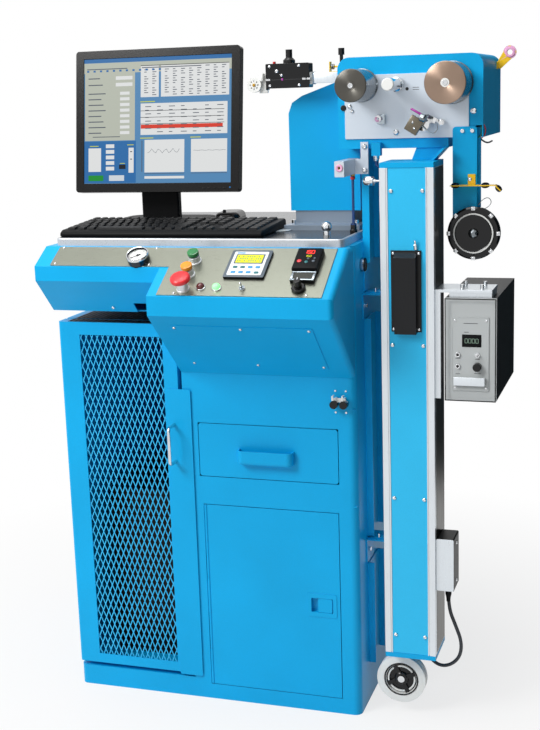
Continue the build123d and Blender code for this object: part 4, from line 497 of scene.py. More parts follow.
def piece(name, material, *shapes, body="cabinet", bevel=0.0, slot=None, smooth=35):
    """Join shapes into an object that rides on a body."""
    bm = bmesh.new()
    for shape in shapes:
        shape(bm)
    if bevel:
        sharp = [e for e in bm.edges if len(e.link_faces) == 2
                 and e.calc_face_angle(0) > math.radians(40)]
        bmesh.ops.bevel(bm, geom=sharp, offset=bevel * MM, segments=2, profile=0.5,
                        affect="EDGES", clamp_overlap=True, material=-1)
    bmesh.ops.recalc_face_normals(bm, faces=bm.faces)
    mesh = bpy.data.meshes.new(name)
    bm.to_mesh(mesh)
    bm.free()
    made = bpy.data.objects.new(name, mesh)
    bpy.context.scene.collection.objects.link(made)
    mesh.materials.append(FINISHES[material])
    mesh.shade_smooth()
    mesh.set_sharp_from_angle(angle=math.radians(smooth))
    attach(made, body)
    slot or SLOTS[material]
    return made


def line(name, material, route, radius, fine):
    """A round cord on one smooth curve, with the points of its route as control points."""
    curve = bpy.data.curves.new(name, "CURVE")
    curve.dimensions = "3D"
    spline = curve.splines.new("NURBS")
    spline.points.add(len(route) - 1)
    for point, place in zip(spline.points, route):
        point.co = (*(Vector(place) * MM), 1)
    spline.order_u = 3
    spline.use_endpoint_u = True
    spline.resolution_u = 12
    curve.bevel_depth = radius * MM
    curve.bevel_resolution = fine
    curve.use_fill_caps = True
    made = bpy.data.objects.new(name, curve)
    bpy.context.scene.collection.objects.link(made)
    curve.materials.append(FINISHES[material])
    return made


# Settings
class TesterColours(bpy.types.PropertyGroup):
    paint: bpy.props.FloatVectorProperty(
        name="Paint", description="Powder coat of the cabinet and the head", size=3,
        subtype="COLOR_GAMMA", min=0.0, max=1.0, default=channels("#02a9e4"))
    # A paler blue than the paint: painted highlight of the mesh's lit strands
    mesh: bpy.props.FloatVectorProperty(
        name="Mesh", description="Powder coat of the expanded mesh in the door", size=3,
        subtype="COLOR_GAMMA", min=0.0, max=1.0, default=channels("#35b9ee"))


class TesterSizes(bpy.types.PropertyGroup):
    key_gap: bpy.props.FloatProperty(
        name="Key gap", description="Gap between two key caps", default=0.0026, min=0.0005,
        max=0.005, precision=4, unit="LENGTH", subtype="DISTANCE")
    tick_length: bpy.props.FloatProperty(
        name="Dial tick", description="Length of a tick on the gauge", default=0.0026,
        min=0.0005, max=0.006, precision=4, unit="LENGTH", subtype="DISTANCE")
    lamp_light: bpy.props.FloatProperty(
        name="Lamp", description="Strength of the key lamp", default=165.0, min=0.0,
        unit="POWER", subtype="POWER")


# Stage
def seen_rays(tree):
    """1 for what the camera sees straight, in a reflection or through glass."""
    rays = add(tree, "ShaderNodeLightPath").outputs
    most = add(tree, "ShaderNodeMath", {0: rays["Is Camera Ray"], 1: rays["Is Glossy Ray"]},
               operation="MAXIMUM")
    return add(tree, "ShaderNodeMath", {0: most.outputs[0], 1: rays["Is Transmission Ray"]},
               operation="MAXIMUM").outputs[0]


def flat_sheet(name, size, material, place=None, cells=1):
    """A flat sheet of the stage, of one face or of cells by cells faces."""
    bm = bmesh.new()
    bmesh.ops.create_grid(bm, x_segments=cells, y_segments=cells, size=size,
                          matrix=place or Matrix())
    mesh = bpy.data.meshes.new(name)
    bm.to_mesh(mesh)
    bm.free()
    mesh.materials.append(material)
    made = bpy.data.objects.new(name, mesh)
    bpy.context.scene.collection.objects.link(made)
    return made


def stage_material(name, colour, rough, spec):
    """A plain paint for the stage."""
    material = bpy.data.materials.new(name)
    material.use_nodes = True
    shader = material.node_tree.nodes["Principled BSDF"]
    shader.inputs["Base Color"].default_value = linear(colour)
    shader.inputs["Roughness"].default_value = rough
    shader.inputs["Specular IOR Level"].default_value = spec
    return material


def make_floor():
    """A pale floor that fades to white away from the object and keeps its shadow near it."""
    white = stage_material("studio_white", "#e6e6e6", 0.9, 0.5)
    tree = white.node_tree
    bright = add(tree, "ShaderNodeEmission", in_Strength=1.0)
    away = add(tree, "ShaderNodeVectorMath", {
        0: add(tree, "ShaderNodeTexCoord").outputs["Object"]}, operation="LENGTH")
    fade = add(tree, "ShaderNodeMapRange", {"Value": away.outputs["Value"]}, in_From_Min=0.3,
               in_From_Max=1.5, in_To_Min=0.72, in_To_Max=1.0)
    share = add(tree, "ShaderNodeMath", {0: seen_rays(tree), 1: fade.outputs[0]},
                operation="MULTIPLY")
    mixed = add(tree, "ShaderNodeMixShader", {
        0: share.outputs[0], 1: tree.nodes["Principled BSDF"].outputs[0], 2: bright.outputs[0]})
    tree.links.new(mixed.outputs[0], tree.nodes["Material Output"].inputs[0])
    # The floor glows a little, so the number of its faces changes how it lights the object.
    flat_sheet("floor", 9.0, white, cells=2)


def make_world(scene):
    """White behind the object, and a softer white as the light of the room."""
    world = bpy.data.worlds.new("studio")
    scene.world = world
    world.use_nodes = True
    tree = world.node_tree
    ground = tree.nodes["Background"]
    ground.inputs[0].default_value = (1, 1, 1, 1)
    ground.inputs[1].default_value = ROOM_LIGHT
    seen = add(tree, "ShaderNodeBackground", in_Color=(1, 1, 1, 1), in_Strength=1.0)
    mixed = add(tree, "ShaderNodeMixShader", {0: seen_rays(tree), 1: ground.outputs[0],
                                             2: seen.outputs[0]})
    tree.links.new(mixed.outputs[0], tree.nodes["World Output"].inputs[0])


def make_lights(scene, strength):
    """A key lamp from the front left, a weaker one above, and dark cards on the right."""
    for name, place, size, watts in (("key", (-2.3, -3.3, 3.7), 1.8, strength),
                                     ("top", (-0.4, -0.9, 4.0), 2.2, strength * TOP_SHARE)):
        data = bpy.data.lights.new(name, "AREA")
        data.size = size
        data.energy = watts
        lamp = bpy.data.objects.new(name, data)
        lamp.location = place
        aim = Vector(LAMP_AIM) - Vector(place)
        lamp.rotation_euler = aim.to_track_quat("-Z", "Y").to_euler()
        scene.collection.objects.link(lamp)
    card = stage_material("dark_card", "#3a444a", 0.5, 0.0)
    for name, place, size, turn in (("side_card", (1.75, 1.0, 1.1), (2.9, 2.6), -30),
                                    ("near_card", (2.3, -1.2, 1.1), (2.4, 2.6), -90)):
        flag = flat_sheet(name, 0.5, card, Matrix.Translation(place) @ spin(turn, "Z")
                          @ spin(90, "X") @ Matrix.Diagonal((size[0], size[1], 1, 1)))
        flag.visible_camera = False


def make_camera(scene):
    """The camera at the photograph's place."""
    data = bpy.data.cameras.new("photo_view")
    data.sensor_width = 36.0
    data.sensor_fit = "AUTO"
    data.lens = FOCAL_LENGTH
    data.clip_start = 0.05
    camera = bpy.data.objects.new("photo_view", data)
    yaw, pitch, roll = (math.radians(v) for v in CAMERA_TURN)
    ahead = Vector((-math.sin(yaw) * math.cos(pitch), math.cos(yaw) * math.cos(pitch),
                    -math.sin(pitch)))
    level = Vector((math.cos(yaw), math.sin(yaw), 0))
    upright = level.cross(ahead)
    right = math.cos(roll) * level + math.sin(roll) * upright
    up = -math.sin(roll) * level + math.cos(roll) * upright
    camera.matrix_world = Matrix((
        *((right[i], up[i], -ahead[i], CAMERA_AT[i]) for i in range(3)), (0, 0, 0, 1)))
    scene.collection.objects.link(camera)
    scene.camera = camera
    scene.view_settings.view_transform = "Standard"


# Operators
class TESTER_OT_stage(bpy.types.Operator):
    """Floor, room, lamps and the camera at the photograph's place"""
    bl_idname = "tester.stage"
    bl_label = "Stage"

    def execute(self, context):
        make_floor()
        make_world(context.scene)
        make_lights(context.scene, context.scene.tester_sizes.lamp_light)
        make_camera(context.scene)
        return {"FINISHED"}


class TESTER_OT_finishes(bpy.types.Operator):
    """Make the finishes and lay them on the frame's nodes"""
    bl_idname = "tester.finishes"
    bl_label = "Finishes"

    def execute(self, context):
        sheet_finishes(context.scene.tester_colours)
        moulded_finishes()
        for material, nodes in NODE_FINISHES.items():
            for node in nodes:
                paint_node(node, material)
        for node, material, low, high in PART_FINISHES:
            paint_part(node, material, low, high)
        glass = PLATE_TOP + 15
        paint_part("gauge_case", "instrument_glass",
                   (*(v - GAUGE_GLASS for v in GAUGE_AT), glass),
                   (*(v + GAUGE_GLASS for v in GAUGE_AT), glass + 2.4), PANEL)
        return {"FINISHED"}


class TESTER_OT_cable(bpy.types.Operator):
    """Cable from the control box back into the foot of the column, and its gland"""
    bl_idname = "tester.cable"
    bl_label = "Control cable"

    def execute(self, context):
        cable = line("cable_line", "rubber_cable_black", CABLE_ROUTE, 4, 6)
        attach(cable, "cabinet")
        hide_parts("control_cable")
        piece("cable_gland", "moulded_abs_black",
              turned([(0, 0), (6.5, 0), (7, 1), (7, 9), (5.2, 16), (4.4, 26), (4.05, 26),
                      (0, 25)], (557, -268, 318), DOWN, 32))
        return {"FINISHED"}


def key_cap(centre, width, depth, slope):
    """A cap that narrows towards its top."""
    def make(bm):
        before = set(bm.verts)
        verts = bmesh.ops.create_cube(bm, size=1.0, matrix=Matrix.Diagonal(
            (width * MM, depth * MM, 8 * MM, 1)))["verts"]
        upper = [v for v in verts if v.co.z > 0]
        bmesh.ops.scale(bm, verts=upper, vec=((width - 5) / width, (depth - 5) / depth, 1))
        edges = {e for v in upper for e in v.link_edges}
        bmesh.ops.bevel(bm, geom=list(edges), offset=0.9 * MM, segments=1, profile=0.5,
                        affect="EDGES", material=-1)
        bmesh.ops.transform(bm, verts=[v for v in bm.verts if v not in before],
                            matrix=at(*centre) @ Matrix.Rotation(slope, 4, "X"))
    return make


# Widths of the keys in each row, in units; a 0 in a block leaves its place free
MAIN_KEYS = ((1.25, 1.25, 1.25, 6.25, 1.25, 1.25, 1.25, 1.25), (2.25,) + (1,) * 10 + (2.75,),
             (1.75,) + (1,) * 11 + (2.25,), (1.5,) + (1,) * 12 + (1.5,), (1,) * 13 + (2,),
             (1,) * 4 + (1.2,) * 4 + (1.05,) * 6)
ARROW_KEYS = ((1, 1, 1), (0, 1, 0), (), (1, 1, 1), (1, 1, 1), (1, 1, 1))
MAIN_WIDTH, ARROW_WIDTH = 290.0, 64.0


class TESTER_OT_keyboard(bpy.types.Operator):
    """Keyboard case with its separate key caps, and the wheel of the mouse"""
    bl_idname = "tester.keyboard"
    bl_label = "Keyboard and mouse"

    def execute(self, context):
        (x0, y0, z0), (x1, y1, _) = ([v / MM for v in corner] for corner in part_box("keyboard"))

        def case(bm):
            side = ((y0, z0), (y0, z0 + 9), (y0 + 12, z0 + 15), (y1 - 8, z0 + 24),
                    (y1, z0 + 20), (y1, z0))
            face = bm.faces.new([bm.verts.new(Vector((x0, y, z)) * MM) for y, z in side])
            out = bmesh.ops.extrude_face_region(bm, geom=[face])
            moved = [g for g in out["geom"] if isinstance(g, bmesh.types.BMVert)]
            bmesh.ops.translate(bm, verts=moved, vec=((x1 - x0) * MM, 0, 0))

        board = piece("keyboard_case", "moulded_abs_black", case, bevel=3.0)
        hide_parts("keyboard")
        gap = context.scene.tester_sizes.key_gap / MM
        step = (y1 - y0 - 30) / 6
        slope = math.atan2(9, y1 - y0 - 20)
        caps = []
        for row, keys in enumerate(MAIN_KEYS):
            y = y0 + 14 + (row + 0.5) * step
            z = z0 + 16.4 + row * 1.55
            for x, widths, unit in (
                    (x0 + 10, keys, MAIN_WIDTH / sum(keys)),
                    (x0 + 308, ARROW_KEYS[row], ARROW_WIDTH / 3),
                    (x0 + 380, (1, 1, 1, 1), (x1 - x0 - 392) / 4)):
                for width in widths:
                    pitch = (width or 1) * unit
                    if width:
                        caps.append(key_cap((x + pitch / 2, y, z), pitch - gap, step - gap,
                                            slope))
                    x += pitch
        piece("key_caps", "keycap_abs_black", *caps, smooth=25)
        piece("mouse_wheel", "moulded_abs_black",
              disc((-18, -72, 1149), (1, 0.1, 0), 7, 6, 28), bevel=0.8)
        return {"FINISHED"}


# Screen: boxes are (left, low, right, high) in parts of the picture
def on_screen(u, v):
    """A spot of the picture, in mm on the screen's plane."""
    return (SCREEN_X[0] + (SCREEN_X[1] - SCREEN_X[0]) * u,
            SCREEN_V[0] + (SCREEN_V[1] - SCREEN_V[0]) * v)


def screen_piece(name, material, *shapes):
    """A piece that leans with the screen."""
    piece(name, material, *shapes, body="screen", slot="black_gloss")


def windows(name, material, boxes, level):
    """Flat windows of the picture, at a level behind the screen's plane."""
    shapes = []
    for u0, v0, u1, v1 in boxes:
        (x0, low), (x1, high) = on_screen(u0, v0), on_screen(u1, v1)
        shapes.append(bar((x0, x1), (low, high), (level, level + 0.25), SCREEN))
    screen_piece(name, material, *shapes)


def table_marks(u0, u1, low, high, rows, columns):
    """Short dashes in rows and columns, as the figures of a table."""
    pitch = (u1 - u0) / columns
    for row in range(rows):
        v = low + (high - low) * (row + 0.5) / rows
        for column in range(columns):
            if (column * 7 + row * 5) % 9:
                u = u0 + pitch * (column + 0.3)
                yield u, v, u + pitch * (0.3 + 0.2 * ((row + column) % 2)), v + 0.006


def trace(start, wave):
    """A plotted line of short strokes."""
    spots = [on_screen(start + 0.0145 * i, 0.255 + wave * math.sin(i * 1.9 + start * 9))
             for i in range(16)]
    for (x0, y0), (x1, y1) in zip(spots, spots[1:]):
        length = math.hypot(x1 - x0, y1 - y0)
        turn = SCREEN @ at((x0 + x1) / 2, (y0 + y1) / 2, -1.3) @ Matrix.Rotation(
            math.atan2(y1 - y0, x1 - x0), 4, "Z")
        yield bar((-length / 2, length / 2), (-0.35, 0.35), (0, 0.2), turn)


class TESTER_OT_screen(bpy.types.Operator):
    """Lit picture of the screen: plain windows, two tables and two plots"""
    bl_idname = "tester.screen"
    bl_label = "Screen"

    def execute(self, context):
        fields = [(0.22, 0.83 - 0.052 * i, 0.335, 0.858 - 0.052 * i) for i in (0, 1)]
        fields += [(0.25, 0.80 - 0.045 * i, 0.315, 0.824 - 0.045 * i) for i in range(2, 10)]
        keys = [(0.152, 0.105 + 0.045 * i, 0.21, 0.135 + 0.045 * i) for i in range(5)]
        labels = [(0.03, 0.84 - 0.052 * i, 0.11 + 0.02 * (i % 2), 0.848 - 0.052 * i)
                  for i in (0, 1)]
        labels += [(0.03, 0.808 - 0.045 * i, 0.12 + 0.015 * (i % 3), 0.816 - 0.045 * i)
                   for i in range(2, 10)]
        labels += [(0.06, 0.372, 0.25, 0.378), (0.02, 0.915, 0.3, 0.922),
                   (0.4, 0.915, 0.8, 0.922)]
        axes = [(0.40, 0.09, 0.405, 0.34), (0.42, 0.074, 0.69, 0.078),
                (0.735, 0.074, 0.975, 0.078)]
        windows("screen_ground", "screen_sky", [(0, 0, 1, 1)], -2.4)
        windows("screen_title", "screen_blue", [(0, 0.97, 1, 1), (0, 0.004, 0.36, 0.34)], -2.2)
        windows("screen_panels", "screen_grey", [
            (0, 0.885, 1, 0.968), (0.005, 0.345, 0.352, 0.885)], -2.1)
        windows("screen_sheets", "screen_white", [
            (0.392, 0.685, 0.515, 0.935), (0.53, 0.685, 0.985, 0.935),
            (0.392, 0.385, 0.975, 0.635), (0.42, 0.085, 0.69, 0.345),
            (0.735, 0.085, 0.975, 0.345), (0.03, 0.095, 0.118, 0.285),
            (0.31, 0.085, 0.345, 0.285), (0.42, 0.035, 0.69, 0.055)] + fields + keys, -1.8)
        windows("screen_rules", "screen_line", [
            *labels, *table_marks(0.40, 0.51, 0.69, 0.925, 13, 2),
            *table_marks(0.54, 0.975, 0.69, 0.925, 13, 8),
            *table_marks(0.40, 0.965, 0.39, 0.62, 8, 7), *axes], -1.3)
        windows("screen_lines", "screen_dark", [
            (0.392, 0.470 + 0.052 * i, 0.955, 0.474 + 0.052 * i) for i in range(3)] + [
            (0.392, 0.932, 0.985, 0.937), (0.245, 0.115, 0.29, 0.15),
            (0.322, 0.25, 0.335, 0.257), (0.322, 0.19, 0.335, 0.197)], -1.0)
        windows("screen_alarm", "screen_red", [(0.394, 0.435, 0.945, 0.466)], -1.5)
        windows("screen_tools", "screen_blue", [
            (0.02 + 0.045 * i, 0.895, 0.035 + 0.045 * i, 0.91) for i in range(12)], -1.2)
        windows("screen_keys", "screen_green", [(0.03, 0.02, 0.135, 0.065)], -1.2)
        windows("screen_pads", "screen_pale", [(0.175, 0.02, 0.28, 0.065)], -1.2)
        windows("screen_titles", "screen_yellow", [
            (0.39, 0.645, 0.49, 0.652), (0.39, 0.356, 0.48, 0.363), (0.73, 0.356, 0.8, 0.363),
            (0.04, 0.298, 0.10, 0.304), (0.30, 0.305, 0.345, 0.311),
            (0.25, 0.158, 0.285, 0.163)], -1.5)
        screen_piece("screen_traces", "screen_line", *trace(0.44, 0.018),
                     *trace(0.75, 0.002))
        screen_piece("screen_power_lamp", "screen_blue",
                     disc((188, 10, 0), UP, 2.0, 0.6, 20, SCREEN))
        screen_piece("screen_buttons", "gloss_abs_black", *(
            bar((118 + 13 * i, 127 + 13 * i), (6.5, 9.5), (0, 0.8), SCREEN, 1.2, 3)
            for i in range(5)))
        return {"FINISHED"}


class TESTER_OT_worktop(bpy.types.Operator):
    """Dark inlay and round cover of the worktop"""
    bl_idname = "tester.worktop"
    bl_label = "Worktop"

    def execute(self, context):
        piece("worktop_inlay", "worktop_steel",
              bar((-333, 338), (-321, 285), (1115.4, 1116.25), corner=11))
        piece("worktop_grommet", "stove_enamel_grey",
              turned([(0, 0), (26, 0), (28, 1), (26.5, 2), (0, 2.2)], (150, -165, 1116.2), UP,
                     40))
        return {"FINISHED"}


class TESTER_OT_gauge(bpy.types.Operator):
    """Dial card, scale and rim of the pressure gauge"""
    bl_idname = "tester.gauge"
    bl_label = "Pressure gauge"

    def execute(self, context):
        face = PANEL @ at(*GAUGE_AT, PLATE_TOP + 12)
        piece("gauge_card", "dial_card_white", disc((0, 0, 0.02), UP, 21.6, 0.3, 48, face))
        length = context.scene.tester_sizes.tick_length / MM
        ticks = []
        for i in range(41):
            long = length * (1.5 if i % 5 == 0 else 1)
            wide = 0.7 if i % 5 == 0 else 0.35
            ticks.append(bar((DIAL_EDGE - long, DIAL_EDGE), (-wide / 2, wide / 2), (0.3, 0.42),
                             face @ spin(DIAL_ZERO - i * DIAL_STEP, "Z")))
        ring = turned([(19.4, 0.3), (19.9, 0.3), (19.9, 0.42), (19.4, 0.42), (19.4, 0.3)],
                      (0, 0, 0), UP, 60, face)
        piece("gauge_scale", "printing_black", *ticks, ring)
        numbers = []
        for i in range(0, 9, 2):
            angle = math.radians(DIAL_ZERO - i * 5 * DIAL_STEP)
            spot = (math.cos(angle) * DIAL_NUMBERS, math.sin(angle) * DIAL_NUMBERS)
            numbers.append(figure(str(i), spot, 2.6, 0.3, face))
        piece("gauge_numbers", "printing_black", *numbers)
        piece("gauge_rim", "chromium_plate",
              turned([(22.2, 5.2), (25.3, 0.5), (26.2, 1.5), (25.8, 5), (24.4, 7), (22.6, 6.6),
                      (22.2, 5.2)], (0, 0, 0), UP, 56, face))
        return {"FINISHED"}


class TESTER_OT_display(bpy.types.Operator):
    """Front of the display unit: frame, film, lit window and keys"""
    bl_idname = "tester.display"
    bl_label = "Display unit"

    def execute(self, context):
        top = PLATE_TOP + 6
        piece("display_frame", "display_frame_grey",
              bar((105, 196), (58, 149), (top - 0.6, top + 0.4), PANEL, 3), bevel=0.3)
        piece("display_membrane", "membrane_white",
              bar((112, 189), (64, 143), (top + 0.4, top + 1.2), PANEL, 3))
        piece("display_bezel", "display_frame_grey",
              bar((118, 183), (102, 134), (top + 1.2, top + 1.6), PANEL, 1.5))
        piece("display_glass", "liquid_crystal_yellow",
              bar((121, 180), (105, 131), (top + 1.6, top + 1.8), PANEL, 1))
        piece("display_marks", "membrane_teal", *(
            bar((124 + i * 5, 127 + i * 5), (109 + row * 7, 112 + row * 7),
                (top + 1.8, top + 1.9), PANEL)
            for row in range(3) for i in range(11) if (row * 5 + i * 3) % 7 < 5))
        for name, material, spots in (
                ("display_keys_dark", "membrane_teal", ((120, 90), (137, 90), (172, 72))),
                ("display_keys_blue", "membrane_blue", ((154, 90), (171, 90), (120, 73),
                                                        (137, 73), (154, 73)))):
            piece(name, material, *(
                bar((x, x + 10.5), (v - 3.5, v + 3.5), (top + 1.2, top + 2.0), PANEL, 2.5)
                for x, v in spots), bevel=0.3)
        piece("display_stripe", "membrane_blue",
              bar((118, 136), (136.5, 140), (top + 1.2, top + 1.35), PANEL))
        return {"FINISHED"}


class TESTER_OT_controller(bpy.types.Operator):
    """Front of the temperature controller, and the frame and window of the counter"""
    bl_idname = "tester.controller"
    bl_label = "Controller and counter"

    def execute(self, context):
        top = PLATE_TOP + 13
        piece("controller_face", "moulded_abs_black",
              bar((255, 309), (79, 147), (top - 0.5, top + 2.5), PANEL, 4), bevel=1.0)
        piece("controller_digits", "digits_red", *(
            figure(text, (274 + i * 8, 133), 10, top + 2.5, PANEL, 1.7)
            for i, text in enumerate("150")))
        piece("controller_small_digits", "liquid_crystal_yellow", *(
            figure(text, (277 + i * 5, 119.5), 5.5, top + 2.5, PANEL, 1.0)
            for i, text in enumerate("150")))
        for name, material, x, v, r in (("red", "polycarbonate_red", 266, 103, 5.0),
                                        ("teal", "membrane_teal", 282, 100, 4.0),
                                        ("left", "display_frame_grey", 284, 111, 2.6),
                                        ("right", "display_frame_grey", 297, 103, 3.4),
                                        ("end", "display_frame_grey", 298, 112, 2.6)):
            piece("controller_key_" + name, material,
                  turned([(0, 1.6), (r * 0.7, 1.4), (r, 0.5), (r, 0), (0, 0)],
                         (x, v, top + 2.4), UP, 28, PANEL), slot="black_plastic")
        top = PLATE_TOP + 9
        piece("counter_frame", "polished_aluminium", *(
            bar(x, v, (top - 1, top + 1.6), PANEL)
            for x, v in (((257, 309), (47, 51)), ((257, 309), (72, 76)), ((257, 262), (51, 72)),
                         ((304, 309), (51, 72)))), bevel=0.6)
        piece("counter_glass", "liquid_crystal_dark",
              bar((262, 304), (51, 72), (top - 1, top + 0.3), PANEL))
        return {"FINISHED"}


class TESTER_OT_buttons(bpy.types.Operator):
    """Caps, sleeves and bezels of the push-buttons, lamps, toggle and selector"""
    bl_idname = "tester.buttons"
    bl_label = "Buttons and lamps"

    def execute(self, context):
        r = BUTTON_RADIUS
        cap = [(0, 0.9), (r * 0.72, 0.8), (r * 0.76, 0.1), (r * 0.98, -0.2), (r, -1.4),
               (r, -6.8), (r * 0.9, -6.9), (0, -6.9)]
        for name, spot, material in (("start", START_AT, "polycarbonate_green"),
                                     ("reset", RESET_AT, "polycarbonate_amber")):
            piece(name + "_lens", material, turned(cap, (*spot, PLATE_TOP + 28), UP, 40, PANEL),
                  body=name + "_button")
        piece("stop_cap", "polycarbonate_red",
              turned([(0, 0.8), (12, 0.5), (18, -0.6), (21, -2.6), (22, -5), (21.6, -8.6),
                      (16, -9.8), (0, -9.9)], (*STOP_AT, PLATE_TOP + 36), UP, 48, PANEL),
              body="stop_button")
        piece("button_sleeves", "satin_collar", *(
            turned([(8.4, top), (11.4, top), (12.5, top - 1), (12.5, 4), (14.3, 3.4), (14.3, 0),
                    (8.4, 0), (8.4, top)], (*spot, PLATE_TOP), UP, 40, PANEL)
            for spot, top in ((START_AT, 17), (RESET_AT, 17), (STOP_AT, 20))))
        for name, spot, material in (("alarm_lens", ALARM_AT, "lamp_lens_red"),
                                     ("ready_lens", READY_AT, "lamp_lens_lit")):
            piece(name, material,
                  turned([(0, 11.6), (4, 11), (7, 9), (8.8, 5.5), (9, 2), (0, 2)],
                         (*spot, PLATE_TOP), UP, 36, PANEL))
        bezels = [turned([(8.6, 3.2), (10.2, 2.8), (10.8, 0), (8.6, 0), (8.6, 3.2)],
                         (*spot, PLATE_TOP), UP, 36, PANEL) for spot in (ALARM_AT, READY_AT)]
        piece("lamp_bezels", "chromium_plate", *bezels,
              turned([(5.2, 3.4), (7.6, 3.4), (7.6, 0), (5.2, 0), (5.2, 3.4)],
                     (*TOGGLE_AT, PLATE_TOP), UP, 6, PANEL))
        piece("selector_mark", "membrane_white",
              bar((-0.9, 0.9), (2, 8.4), (24.9, 25.5), PANEL @ at(*SELECTOR_AT, PLATE_TOP)),
              body="selector_knob")
        return {"FINISHED"}


class TESTER_OT_rollers(bpy.types.Operator):
    """Faces, hubs and washers of the godets, and the sleeve of the separator roller"""
    bl_idname = "tester.rollers"
    bl_label = "Rollers"

    def execute(self, context):
        for name, x, r, y, face, washer in (
                ("feed", FEED_X, 34.2, FEED_FRONT, "turned_face_steel", "turned_face_steel"),
                ("draw", DRAW_X, 43.3, DRAW_FRONT, "turned_face_bronze", "acetal_white")):
            centre, body = (x, y, ROLLER_Z), name + "_godet"
            piece(name + "_face", face,
                  turned([(9.2, 0.2), (10, 0.6), (r - 1.4, 0.6), (r - 0.4, 0.1),
                          (r + 0.15, -0.9), (r + 0.15, -2.5), (9.2, -1.0), (9.2, 0.2)], centre,
                         OUT, 72), body=body)
            piece(name + "_hub", "chromium_plate",
                  turned([(0, -1.6), (2.6, -1.6), (2.8, 1.4), (5.4, 1.4), (5.8, 0.6), (5.8, -3),
                          (0, -3)], centre, OUT, 36), body=body)
            piece(name + "_washer", washer,
                  turned([(5.8, 0.5), (9.2, 0.5), (9.3, -2), (5.8, -2), (5.8, 0.5)], centre, OUT,
                         36), body=body, slot="bright_steel")
        centre = (SEPARATOR_X, SEPARATOR_FRONT, ROLLER_Z)
        piece("separator_cap", "acetal_white",
              turned([(0, 0.6), (11.4, 0.5), (12.9, -0.6), (13.3, -4.8), (0, -4.8)], centre, OUT,
                     56), body="separator_roller", slot="bright_steel")
        piece("separator_sleeve", "chromium_plate",
              turned([(12.6, -4.8), (13.15, -5), (13.15, -78), (15.2, -80), (15.2, -92),
                      (12.6, -92), (12.6, -4.8)], centre, OUT, 64), body="separator_roller")
        return {"FINISHED"}


class TESTER_OT_head(bpy.types.Operator):
    """Fittings of the face plate: marks, screws, the force sensor and a small guide"""
    bl_idname = "tester.head"
    bl_label = "Head"

    def execute(self, context):
        piece("face_plate_marks", "printing_black", disc((460, FACE_Y, 1425), OUT, 3.6, 0.3, 24),
              *(bar((472, 486), (FACE_Y - 0.25, FACE_Y), (z, z + 1.0)) for z in (1427, 1422.5)))
        piece("head_screws", "chromium_plate", *(
            screw((x, y, z), OUT, r, 3.6)
            for x, y, z, r in ((333, FACE_Y, 1391, 5.0), (338, FACE_Y, 1381, 4.2),
                               (435, FACE_Y, 1334, 6.4), (602, -205, 1375, 6.4))))
        piece("sensor_rod", "oxide_ceramic_violet",
              disc((478, FACE_Y - 52, 1384), (0.86, 0, -0.5), 2.2, 34, 20), bevel=0.4)
        piece("sensor_shell", "sensor_housing",
              bar((-14.6, 14.6), (-1.6, 9.6), (-17, 17), SENSOR), bevel=1.2)
        piece("sensor_screws", "chromium_plate", *(
            screw(SENSOR @ (Vector((x, -1.6, z)) * MM) / MM, OUT, 2.6, 1.6)
            for x, z in ((-5, 4), (4, -5))))
        piece("sensor_collar", "matt_chrome_shell",
              turned([(0, 0), (7.6, 0), (8.4, 1), (8.4, 10), (6, 13), (0, 13)],
                     (500, FACE_Y - 60, 1366), (0.9, -0.2, -0.3), 28))
        piece("sensor_clamps", "chromium_plate", *(
            turned([(0, 3), (r * 0.6, 3), (r * 0.62, 1.5), (r * 0.9, 1.5), (r, 0), (0, 0)],
                   (x, FACE_Y - 13, z), OUT, 24)
            for x, z, r in ((517, 1360, 5.5), (536, 1353, 6.5), (526, 1358, 4.0))))
        piece("small_guide_block", "polished_aluminium",
              bar((396, 413), (FACE_Y - 12, FACE_Y), (1352, 1372)), bevel=0.8,
              slot="anodised_aluminium")
        piece("small_guide_eye", "oxide_ceramic_pink",
              turned([(3.2, -3), (6.6, -2), (7.4, 0), (6.6, 2), (3.2, 3), (2.8, 0), (3.2, -3)],
                     (401, FACE_Y - 24, 1364), (0.3, -1, 0.2), 32))
        return {"FINISHED"}


